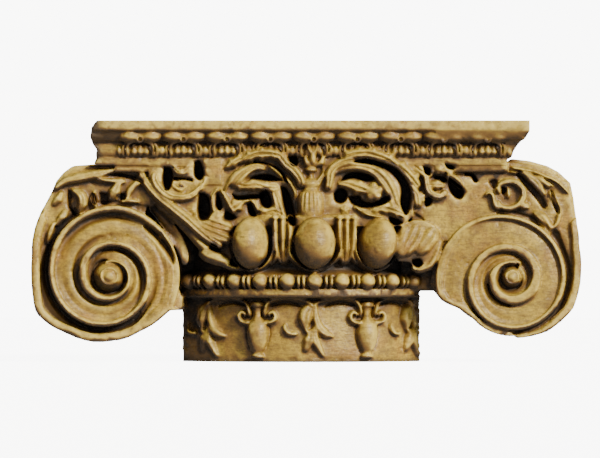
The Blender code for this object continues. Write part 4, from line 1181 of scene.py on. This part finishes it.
# Shadowed hollow between the left volute and the half leaf beside it
HOLLOW_BESIDE_LEAF = ((-146, 135), (-140, 130), (-130, 118), (-124, 104), (-128, 96),
                      (-135, 106), (-144, 117), (-152, 126), (-158, 134), (-157, 139),
                      (-151, 138))


def closed_line(outline):
    """A rounded closed line through given points."""
    return smooth(outline + outline[:1], 4)[:-1]


def chisel(skin):
    """Cut the holes behind the foliage, and the fine lines of the carving."""
    face = on_face(0)
    for outline in HOLES:
        skin.hole(closed_line(outline), face, HOLE_DEPTH, 2.4, CHISEL_FROM)
    for outline in CORNER_HOLES:
        skin.hole(closed_line(outline), face, CORNER_HOLE_DEPTH, 1.4, CHISEL_FROM)
    for points, *_ in LEAVES:
        skin.groove(smooth(points, 6), face, 1.3, 1.2, FRIEZE_REACH)
    skin.hole(closed_line(HOLLOW_BESIDE_LEAF), face, 13, 6.5, CHISEL_FROM)
    volute_lines(skin)
    neck_hollows(skin)
    abacus_lines(skin)
    skin.settle()


def volute_lines(skin):
    """The deep grooves between rims and whorls, and scratched lines under the abacus."""
    face = on_face(0)
    pieces = 24
    for whorl, start, end, depth in ((LEFT_WHORL, 0.06, 0.62, 8), (RIGHT_WHORL, 0.05, 0.5, 3)):
        line = []
        for i in range(pieces + 1):
            turn = start + (end - start) * i / pieces
            far = whorl["radius"] * whorl["shrink"] ** turn + RIM_GAP
            angle = 2 * pi * (0.25 + whorl["hand"] * turn)
            line.append(Vector((whorl["centre"][0] + far * cos(angle),
                                whorl["centre"][1] + far * sin(angle))))
        skin.groove(line, face, 4.4, depth, CHISEL_FROM)
    skin.groove([Vector((-186, 194.5)), Vector((-80, 194))], face, 1.0, 1.2, BORDER_REACH - 18)
    skin.groove(smooth(((150, 188), (180, 190), (206, 190)), 6), face, 1.2, 1.2,
                BORDER_REACH - 18)


def neck_hollows(skin):
    """Grooves beside the neck's vases, and hollows under the arching tendrils."""
    for k in (-1, 1):
        place = on_drum(NECK_RADIUS, BAY_START + k * BAY)
        for side in (-1, 1):
            line = smooth(((side * 4.5, 52), (side * 5, 44), (side * 11, 36), (side * 11.5, 26),
                           (side * 7, 12)), 5)
            skin.groove(line, place, 1.8, 1.6, BACK_REACH)
            arch = ((side * 11, 56), (side * 15, 59.5), (side * 28, 62), (side * 41, 59),
                    (side * 45, 54), (side * 36, 56), (side * 26, 57), (side * 15, 55))
            skin.hole(closed_line(arch), place, 4.5, 2.0, BACK_REACH)


def abacus_lines(skin):
    """Dark lines that part the lobes above the leaves of the abacus."""
    face = on_face(0)
    for i in range(LEAF_BAYS):
        across = FIRST_EYELET + (i + 0.5) * LEAF_STEP
        if across < WORN_FROM - 2:
            skin.groove([Vector((across, CYMA_Z + 14)), Vector((across, CYMA_Z + 26))], face,
                        1.2, 2.0, ABACUS_REACH - 10)


DENT_DEPTH = 0.42
PIT_DEPTH = 0.3


def wear(skin):
    """Age the surface: soft dents, pits, a broken end and rough cut edges."""
    points = skin.points
    front = ramp(-skin.normals[:, 1], -0.3, 0.4) * ramp(skin.reach, BACK_REACH + 6,
                                                        BACK_REACH + 16)
    dents = 0.5 * cloud(points, 9, 1) + 0.32 * cloud(points, 3.4, 2)
    pits = -1.6 * ramp(cloud(points, 2.6, 3) + 0.5 * cloud(points, 14, 4), 0.62, 0.95)
    points += skin.normals * ((DENT_DEPTH * dents + PIT_DEPTH * pits) * front)[:, None]
    broken_end(skin)
    rough_edges(skin)
    skin.write()


# How far left the broken end of the abacus still reaches, by height
BROKEN_LEVELS = (196, 205, 213, 218, 226, 235, 241)
BROKEN_REACH = (-206, -203.5, -203.5, -207.5, -210.5, -207.5, -202.5)


def broken_end(skin):
    """The left end of the abacus, knocked off in lumps."""
    points = skin.points
    edge = np.interp(skin.up, BROKEN_LEVELS, BROKEN_REACH)
    edge += 1.6 * cloud(points, 8, 5) + 0.9 * cloud(points, 3.5, 6)
    level = ramp(skin.up, ABACUS_Z - 0.5, ABACUS_Z + 1.5)
    points[:, 0] += level * np.maximum(edge - skin.across, 0)
    near_end = level * ramp(-skin.across, -ABACUS_LEFT - 14, -ABACUS_LEFT)
    points[:, 1] += near_end * (2.2 * cloud(points, 5, 7) + 2.0)


def rough_edges(skin):
    """Ragged lower edge and cut sides of the neck."""
    points = skin.points
    front = ramp(skin.reach, BACK_REACH + 10, BACK_REACH + 24)
    side = ramp(abs(skin.across), CUT_HALF_WIDTH - 7, CUT_HALF_WIDTH) * front
    side *= (abs(skin.across) < CUT_HALF_WIDTH + 1) * ramp(-skin.up, -NECK_TOP - 3, -NECK_TOP)
    lumps = 1.8 * cloud(points, 7, 8) + 1.1 * cloud(points, 3, 9)
    points[:, 0] += side * lumps * 1.2
    points[:, 1] += side * np.abs(lumps)
    foot = ramp(-skin.up, -7, -0.5) * front
    points[:, 1] += foot * (1.2 + 1.6 * cloud(points, 6, 10) + 1.0 * cloud(points, 2.5, 11))


# What the paint reads from the form

def relief_map(skin):
    """How far the front stands out, on a grid of one millimetre."""
    wide = int(HIGH[0] - LOW[0]) + 1
    tall = int(HIGH[2] - LOW[2]) + 1
    heights = np.zeros((wide, tall))
    column = np.clip((skin.points[:, 0] - LOW[0]).astype(int), 0, wide - 1)
    level = np.clip((skin.points[:, 2] - LOW[2]).astype(int), 0, tall - 1)
    np.maximum.at(heights, (column, level), skin.reach)
    for _ in range(3):
        around = np.max([shift(heights, dx, dz) for dx, dz in ((1, 0), (-1, 0), (0, 1), (0, -1))],
                        0)
        heights = np.where(heights == 0, around, heights)
    return np.maximum(heights, BACK_REACH)


def store_marks(mesh, heights):
    """Store each point's varnish and painted shade, how proud it stands, and where it is broken.
    """
    points = read(mesh.vertices, "co", 3) / MM
    reach = AXIS_Y - points[:, 1]
    marks = {"patina_and_shade": patina_and_shade_mark(points, reach, heights),
             "proud": proud_mark(mesh, points, heights),
             "broken": broken_mark(points, reach)}
    for name, values in marks.items():
        layer = mesh.attributes.new(name, 'FLOAT', 'POINT')
        layer.data.foreach_set("value", values.astype(np.float32))


def patina_and_shade_mark(points, reach, heights):
    """Dark varnish in hollows, with painted shade in them and painted shadow under ledges."""
    # Painted shade where little sky is seen and behind what stands out, on top of the varnish
    # gathered there
    hidden = ramp(1 - sample(blur(sky_share(heights), 1), points), 0.22, 0.95)
    behind = ramp(sample(heights, points) - reach, 3, 14)
    behind *= ramp(HIGH[2] - points[:, 2], 1, 2)
    # Painted shadow under ledges and left of rises, on the side away from the light at the upper
    # right
    soft = blur(heights, 1)
    rise_up = (shift(soft, 0, 1) - shift(soft, 0, -1)) / 2
    rise_right = (shift(soft, 1, 0) - shift(soft, -1, 0)) / 2
    ledge = sample(rise_up + 0.4 * rise_right, points)
    painted_shadow = 0.85 * ramp(ledge, -0.25, 0.9)
    back = ramp(-reach, -BACK_REACH - 12, -BACK_REACH - 1)
    patina_and_shade = np.clip(np.maximum(hidden, 0.7 * behind) + painted_shadow * (1 - hidden), 0, 1)
    return patina_and_shade * (1 - back)


def proud_mark(mesh, points, heights):
    """Ridges and the fillet along the top, which are rubbed paler."""
    normals = read(mesh.vertex_normals, "vector", 3)
    proud = ramp(sample(heights - blur(heights, 3), points), 0.3, 2.4)
    top = 0.9 * ramp(points[:, 2], TOP_FILLET_Z, TOP_FILLET_Z + 2)
    return np.maximum(proud, top) * ramp(-normals[:, 1], 0.0, 0.5)


def broken_mark(points, reach):
    """The knocked-off end of the abacus, and the rough foot and cut sides of the neck."""
    across = points[:, 0] - AXIS_X
    end = ramp(-across, -ABACUS_LEFT - 11, -ABACUS_LEFT - 2)
    end *= ramp(points[:, 2], ABACUS_Z + 3, CYMA_Z)
    foot = ramp(-points[:, 2], -5, -1.0)
    sides = ramp(abs(across), CUT_HALF_WIDTH - 4, CUT_HALF_WIDTH - 1)
    sides *= abs(across) < CUT_HALF_WIDTH + 1
    sides *= ramp(-points[:, 2], -NECK_TOP, -NECK_TOP + 5)
    broken = np.maximum(end, 0.7 * np.maximum(foot, sides))
    return broken * ramp(reach, BACK_REACH + 2, BACK_REACH + 12)


def shift(grid, dx, dz):
    """A grid moved by whole cells, with its edge repeated."""
    x = np.clip(np.arange(grid.shape[0]) + dx, 0, grid.shape[0] - 1)
    z = np.clip(np.arange(grid.shape[1]) + dz, 0, grid.shape[1] - 1)
    return grid[np.ix_(x, z)]


def blur(grid, radius):
    """A grid softened over some cells."""
    for _ in range(3):
        grid = np.mean([shift(grid, i, 0) for i in range(-radius, radius + 1)], 0)
        grid = np.mean([shift(grid, 0, i) for i in range(-radius, radius + 1)], 0)
    return grid


def sky_share(heights):
    """How much of the space in front each cell sees, from its horizon in many directions."""
    directions = 16
    distances = (2, 3, 4, 6, 8, 11, 15, 20, 28)
    total = np.zeros_like(heights)
    for i in range(directions):
        angle = 2 * pi * i / directions
        horizon = np.zeros_like(heights)
        for far in distances:
            step = shift(heights, round(far * cos(angle)), round(far * sin(angle)))
            horizon = np.maximum(horizon, (step - heights) / far)
        total += 1 - np.sin(np.arctan(horizon))
    return total / directions


def sample(grid, points):
    """Read a grid at points, between its cells."""
    x = np.clip(points[:, 0] - LOW[0] - 0.5, 0, grid.shape[0] - 1.001)
    z = np.clip(points[:, 2] - LOW[2] - 0.5, 0, grid.shape[1] - 1.001)
    i = x.astype(int)
    k = z.astype(int)
    u = x - i
    w = z - k
    return (grid[i, k] * (1 - u) * (1 - w) + grid[i + 1, k] * u * (1 - w)
            + grid[i, k + 1] * (1 - u) * w + grid[i + 1, k + 1] * u * w)


# Paint

STRAW = (0.56, 0.385, 0.05, 1)
OCHRE = (0.38, 0.24, 0.028, 1)
UMBER = (0.10, 0.05, 0.010, 1)
RUST = (0.33, 0.14, 0.03, 1)
RUBBED_STRAW = (0.76, 0.57, 0.13, 1)
# Hollow colours: brown varnish with painted shade, near-black pitch with painted deep shade
VARNISH_AND_SHADE_BROWN = (0.16, 0.078, 0.012, 1)
PITCH_AND_DEEP_SHADE = (0.006, 0.004, 0.003, 1)
BROKEN_PLASTER = (0.075, 0.045, 0.018, 1)
DUSTY_PLASTER = (0.70, 0.65, 0.53, 1)
GREY_PLASTER = (0.60, 0.54, 0.42, 1)
DAMP_PLASTER = (0.40, 0.33, 0.22, 1)
RUSTY_PLASTER = (0.50, 0.38, 0.25, 1)


def new_group(name, inputs, outputs):
    """A shader group. Inputs are (name, kind, value), outputs are (name, kind)."""
    tree = bpy.data.node_groups.new(name, 'ShaderNodeTree')
    for label, kind, value in inputs:
        socket = tree.interface.new_socket(label, in_out='INPUT',
                                           socket_type='NodeSocket' + kind)
        socket.default_value = value
    for label, kind in outputs:
        tree.interface.new_socket(label, in_out='OUTPUT', socket_type='NodeSocket' + kind)
    return tree, tree.nodes.new('NodeGroupInput').outputs, tree.nodes.new('NodeGroupOutput')


def noise(tree, scale, detail=4.0, stretch=(1.0, 1.0, 1.0), roughness=0.55):
    """Cloudy values from 0 to 1 in the object's own space. The scale is in blotches a metre."""
    spot = tree.nodes.new('ShaderNodeTexCoord').outputs["Object"]
    moved = place_node(tree, 'ShaderNodeMapping', {"Vector": spot, "Scale": stretch}).outputs[0]
    return place_node(tree, 'ShaderNodeTexNoise',
                      {"Vector": moved, "Scale": scale, "Detail": detail,
                       "Roughness": roughness}).outputs["Fac"]


def steps(tree, value, low, high, to_low=0.0, to_high=1.0):
    """Stretch a value between two limits."""
    return place_node(tree, 'ShaderNodeMapRange',
                      {"Value": value, "From Min": low, "From Max": high, "To Min": to_low,
                       "To Max": to_high}, interpolation_type='SMOOTHSTEP').outputs[0]


def mix_colour(tree, share, first, second):
    """One colour, with a share of another."""
    return place_node(tree, 'ShaderNodeMix', {0: share, 6: first, 7: second},
                      data_type='RGBA').outputs[2]


def attribute(tree, name):
    """A value that is stored on the mesh."""
    return place_node(tree, 'ShaderNodeAttribute', {}, attribute_name=name).outputs["Fac"]


def aged_tone_group():
    """Cloudy change of tone: broad stains, middling blotches and fine brushed streaks."""
    tree, given, out = new_group(
        "aged tone", (("Light", 'Color', (1, 1, 1, 1)), ("Middle", 'Color', (1, 1, 1, 1)),
                      ("Dark", 'Color', (0, 0, 0, 1)), ("Red", 'Color', (1, 0.5, 0.3, 1))),
        (("Color", 'Color'), ("Streaks", 'Float')))
    broad = steps(tree, noise(tree, 14, 4), 0.36, 0.64)
    blotch = steps(tree, noise(tree, 80, 5), 0.4, 0.66)
    speck = steps(tree, noise(tree, 380, 5), 0.42, 0.66)
    streak = steps(tree, noise(tree, 120, 5, (1.0, 1.0, 4.0)), 0.44, 0.66)
    red = steps(tree, noise(tree, 33, 4, roughness=0.6), 0.46, 0.7)
    colour = mix_colour(tree, broad, given["Middle"], given["Light"])
    colour = mix_colour(tree, product_of(tree, red, 0.55), colour, given["Red"])
    for marks, strength in ((blotch, 0.46), (speck, 0.4), (streak, 0.44)):
        colour = mix_colour(tree, product_of(tree, marks, strength), colour, given["Dark"])
    tree.links.new(colour, out.inputs["Color"])
    tree.links.new(streak, out.inputs["Streaks"])
    return tree


def patina_and_shade_group():
    """Dark varnish in the hollows, with painted shade and shadow, and a ragged edge."""
    tree, given, out = new_group(
        "varnish and painted shade in hollows", (("Color", 'Color', (1, 1, 1, 1)), ("Varnish and Shade", 'Color', (0, 0, 0, 1)),
                             ("Start", 'Float', 0.2), ("End", 'Float', 0.6)),
        (("Color", 'Color'), ("Mask", 'Float')))
    patina_and_shade = attribute(tree, "patina_and_shade")
    cloudy = arithmetic(tree, 'SUBTRACT', noise(tree, 150, 5), 0.5)
    ragged = product_of(tree, cloudy, 0.3)
    spread = place_node(tree, 'ShaderNodeMapRange',
                        {"Value": sum_of(tree, patina_and_shade, ragged), "From Min": given["Start"],
                         "From Max": given["End"]}, interpolation_type='SMOOTHSTEP').outputs[0]
    tree.links.new(mix_colour(tree, spread, given["Color"], given["Varnish and Shade"]), out.inputs["Color"])
    tree.links.new(spread, out.inputs["Mask"])
    return tree


def rubbed_group():
    """Edges and high places rubbed to a paler tone."""
    tree, given, out = new_group(
        "rubbed high places", (("Color", 'Color', (1, 1, 1, 1)), ("Pale", 'Color', (1, 1, 1, 1)),
                               ("Amount", 'Float', 0.6)), (("Color", 'Color'),))
    patchy = steps(tree, noise(tree, 120, 4), 0.25, 0.6)
    rubbed = product_of(tree, attribute(tree, "proud"), patchy)
    share = product_of(tree, rubbed, given["Amount"])
    tree.links.new(mix_colour(tree, share, given["Color"], given["Pale"]), out.inputs["Color"])
    return tree


def surface_group():
    """Height of the fine surface: plaster grain, brush marks and small pits."""
    tree, given, out = new_group("plaster grain", (("Grain", 'Float', 1.0),),
                                 (("Height", 'Float'),))
    grain = noise(tree, 700, 4)
    brush = noise(tree, 160, 4, (1.0, 1.0, 4.0))
    lumps = noise(tree, 120, 5)
    height = sum_of(tree, product_of(tree, grain, 0.5), product_of(tree, brush, 0.7))
    height = sum_of(tree, height, lumps)
    tree.links.new(product_of(tree, height, given["Grain"]), out.inputs["Height"])
    return tree


def use_group(tree, group, links):
    """Place a shader group, feed it, and give its outputs."""
    return place_node(tree, 'ShaderNodeGroup', links, node_tree=group).outputs


def start_material(made):
    """The node tree of a material, and its main shader."""
    made.use_nodes = True
    return made.node_tree, made.node_tree.nodes["Principled BSDF"]


def add_grain(tree, shader, group, grain, strength, distance):
    """Fine relief from the plaster's grain."""
    height = use_group(tree, group, {"Grain": grain})["Height"]
    bump = place_node(tree, 'ShaderNodeBump', {"Height": height, "Strength": strength,
                                               "Distance": distance}).outputs[0]
    tree.links.new(bump, shader.inputs["Normal"])


def coat_front(groups):
    """Plaster toned ochre and brown like old stone, varnished, with painted shade in hollows."""
    tree, shader = start_material(PLASTER)
    tone = use_group(tree, groups["tone"], {
        "Light": STRAW, "Middle": OCHRE, "Dark": UMBER, "Red": RUST})
    rubbed = use_group(tree, groups["rubbed"], {
        "Color": tone["Color"], "Pale": RUBBED_STRAW, "Amount": 0.7})
    # Brown varnish in the hollows, darkened by the same mask as painted shade and shadow; the
    # deepest hollows get near-black pitch and painted deep shade
    varnish_and_shade = use_group(tree, groups["varnish_and_painted_shade"], {
        "Color": rubbed["Color"], "Varnish and Shade": VARNISH_AND_SHADE_BROWN, "Start": 0.14, "End": 0.62})
    deep_shade_and_pitch = use_group(tree, groups["varnish_and_painted_shade"], {
        "Color": varnish_and_shade["Color"], "Varnish and Shade": PITCH_AND_DEEP_SHADE, "Start": 0.52, "End": 1.02})
    tone_and_breaks = mix_colour(tree, attribute(tree, "broken"), deep_shade_and_pitch["Color"],
                                 BROKEN_PLASTER)
    tree.links.new(tone_and_breaks, shader.inputs["Base Color"])
    varnish = steps(tree, tone["Streaks"], 0.0, 1.0, 0.42, 0.6)
    rough = sum_of(tree, varnish, product_of(tree, deep_shade_and_pitch["Mask"], 0.3))
    tree.links.new(rough, shader.inputs["Roughness"])
    add_grain(tree, shader, groups["surface"], 1.0, 0.45, 0.001)
    return PLASTER


def coat_back(groups):
    """The flat back: plaster as it was struck off, dusty and pale."""
    made = bpy.data.materials.new("raw plaster back")
    tree, shader = start_material(made)
    tone = use_group(tree, groups["tone"], {
        "Light": DUSTY_PLASTER, "Middle": GREY_PLASTER, "Dark": DAMP_PLASTER,
        "Red": RUSTY_PLASTER})
    tree.links.new(tone["Color"], shader.inputs["Base Color"])
    shader.inputs["Roughness"].default_value = 0.85
    add_grain(tree, shader, groups["surface"], 1.6, 0.6, 0.0012)
    return made


# The cast

def shape_clay():
    """All closed pieces of the cast."""
    make_drum()
    make_eggs()
    make_darts()
    for k in (-1, 1):
        neck_vase(k)
    for k in (-2, 0, 2):
        neck_leaves(k)
    grow_astragal()
    make_ground()
    make_abacus()
    grow_leaf_and_dart()
    make_central_vase()
    grow_flutes()
    make_volute_plate(LEFT_VOLUTE, LEFT_OUTLINE, LEFT_INNER)
    make_volute_plate(RIGHT_VOLUTE, RIGHT_OUTLINE, RIGHT_INNER)
    make_frieze()
    make_corners()
    make_volute(**LEFT_WHORL)
    make_volute(**RIGHT_WHORL)


def thin(mesh):
    """Fewer triangles, most of them kept where the surface is busy."""
    made = bpy.data.objects.new("skin", mesh)
    bpy.context.scene.collection.objects.link(made)
    fewer = made.modifiers.new("thin", 'DECIMATE')
    mesh.calc_loop_triangles()
    fewer.ratio = min(1.0, MOST_TRIANGLES / len(mesh.loop_triangles))
    return as_mesh(made)


def coat(mesh):
    """Toned plaster all over, with raw plaster on the flat back."""
    groups = {"tone": aged_tone_group(), "varnish_and_painted_shade": patina_and_shade_group(), "rubbed": rubbed_group(),
              "surface": surface_group()}
    mesh.materials.clear()
    mesh.materials.append(coat_front(groups))
    mesh.materials.append(coat_back(groups))
    centres = read(mesh.polygons, "center", 3) / MM
    facing = read(mesh.polygons, "normal", 3)
    behind = (facing[:, 1] > 0.8) & (centres[:, 1] > HIGH[1] - 2)
    mesh.polygons.foreach_set("material_index", behind.astype(np.int32))
    mesh.polygons.foreach_set("use_smooth", ~behind)


def make_cast():
    """The whole cast, from clay to coated plaster."""
    shape_clay()
    skin = Skin(fuse())
    chisel(skin)
    wear(skin)
    heights = relief_map(skin)
    mesh = thin(skin.mesh)
    store_marks(mesh, heights)
    coat(mesh)
    cast = bpy.data.objects.new("capital_cast", mesh)
    bpy.context.scene.collection.objects.link(cast)
    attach(cast, "root")
    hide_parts("capital")


# The studio

FLOOR_SIZE = 4.0
SHADE_STRENGTH = 0.16
BACKDROP_STRENGTH = 9.0
FLOOR_GLOW = 8.0


def camera_sees(tree, otherwise, seen):
    """A value for what the camera sees itself, and another for everything else."""
    ray = tree.nodes.new('ShaderNodeLightPath').outputs["Is Camera Ray"]
    return steps(tree, ray, 0.0, 1.0, otherwise, seen)


def make_floor():
    """A plain pale floor, as white as the backdrop to the camera."""
    mesh = bpy.data.meshes.new("floor")
    shape = bmesh.new()
    bmesh.ops.create_grid(shape, x_segments=1, y_segments=1, size=FLOOR_SIZE)
    shape.to_mesh(mesh)
    shape.free()
    floor = bpy.data.objects.new("floor", mesh)
    bpy.context.scene.collection.objects.link(floor)
    made = bpy.data.materials.new("pale floor")
    tree, shader = start_material(made)
    shader.inputs["Base Color"].default_value = (0.9, 0.9, 0.89, 1)
    shader.inputs["Emission Color"].default_value = (1, 1, 0.99, 1)
    tree.links.new(camera_sees(tree, 0.0, FLOOR_GLOW), shader.inputs["Emission Strength"])
    shader.inputs["Roughness"].default_value = 0.7
    mesh.materials.append(made)


def make_light(name, direction, power, colour, softness):
    """A distant soft light that comes from a direction."""
    data = bpy.data.lights.new(name, 'SUN')
    data.energy = power
    data.color = colour
    data.angle = radians(softness)
    made = bpy.data.objects.new(name, data)
    made.rotation_euler = Vector(direction).to_track_quat('Z', 'Y').to_euler()
    bpy.context.scene.collection.objects.link(made)


def make_studio():
    """A warm key from the upper right, a faint fill, and a white backdrop."""
    make_floor()
    make_light("key", direction=(0.58, -0.72, 0.41), power=5.3, colour=(1.0, 0.96, 0.89),
               softness=12)
    make_light("fill", direction=(-0.5, -0.85, 0.35), power=0.35, colour=(0.96, 0.98, 1.0),
               softness=60)
    world = bpy.data.worlds.new("studio")
    world.use_nodes = True
    tree = world.node_tree
    back = tree.nodes["Background"]
    back.inputs["Color"].default_value = (1, 1, 0.985, 1)
    tree.links.new(camera_sees(tree, SHADE_STRENGTH, BACKDROP_STRENGTH),
                   back.inputs["Strength"])
    bpy.context.scene.world = world


def make_camera():
    """Straight in front, far enough back to flatten the relief as in the photograph."""
    distance = 8.0
    sensor = 36.0
    view_width = 0.6
    aim_across = -0.006
    aim_up = 0.133
    data = bpy.data.cameras.new("camera")
    data.sensor_width = sensor
    data.lens = sensor * distance / view_width
    camera = bpy.data.objects.new("camera", data)
    camera.location = (aim_across, -distance, aim_up)
    camera.rotation_euler = (pi / 2, 0, 0)
    bpy.context.scene.collection.objects.link(camera)
    bpy.context.scene.camera = camera


make_cast()
make_studio()
make_camera()
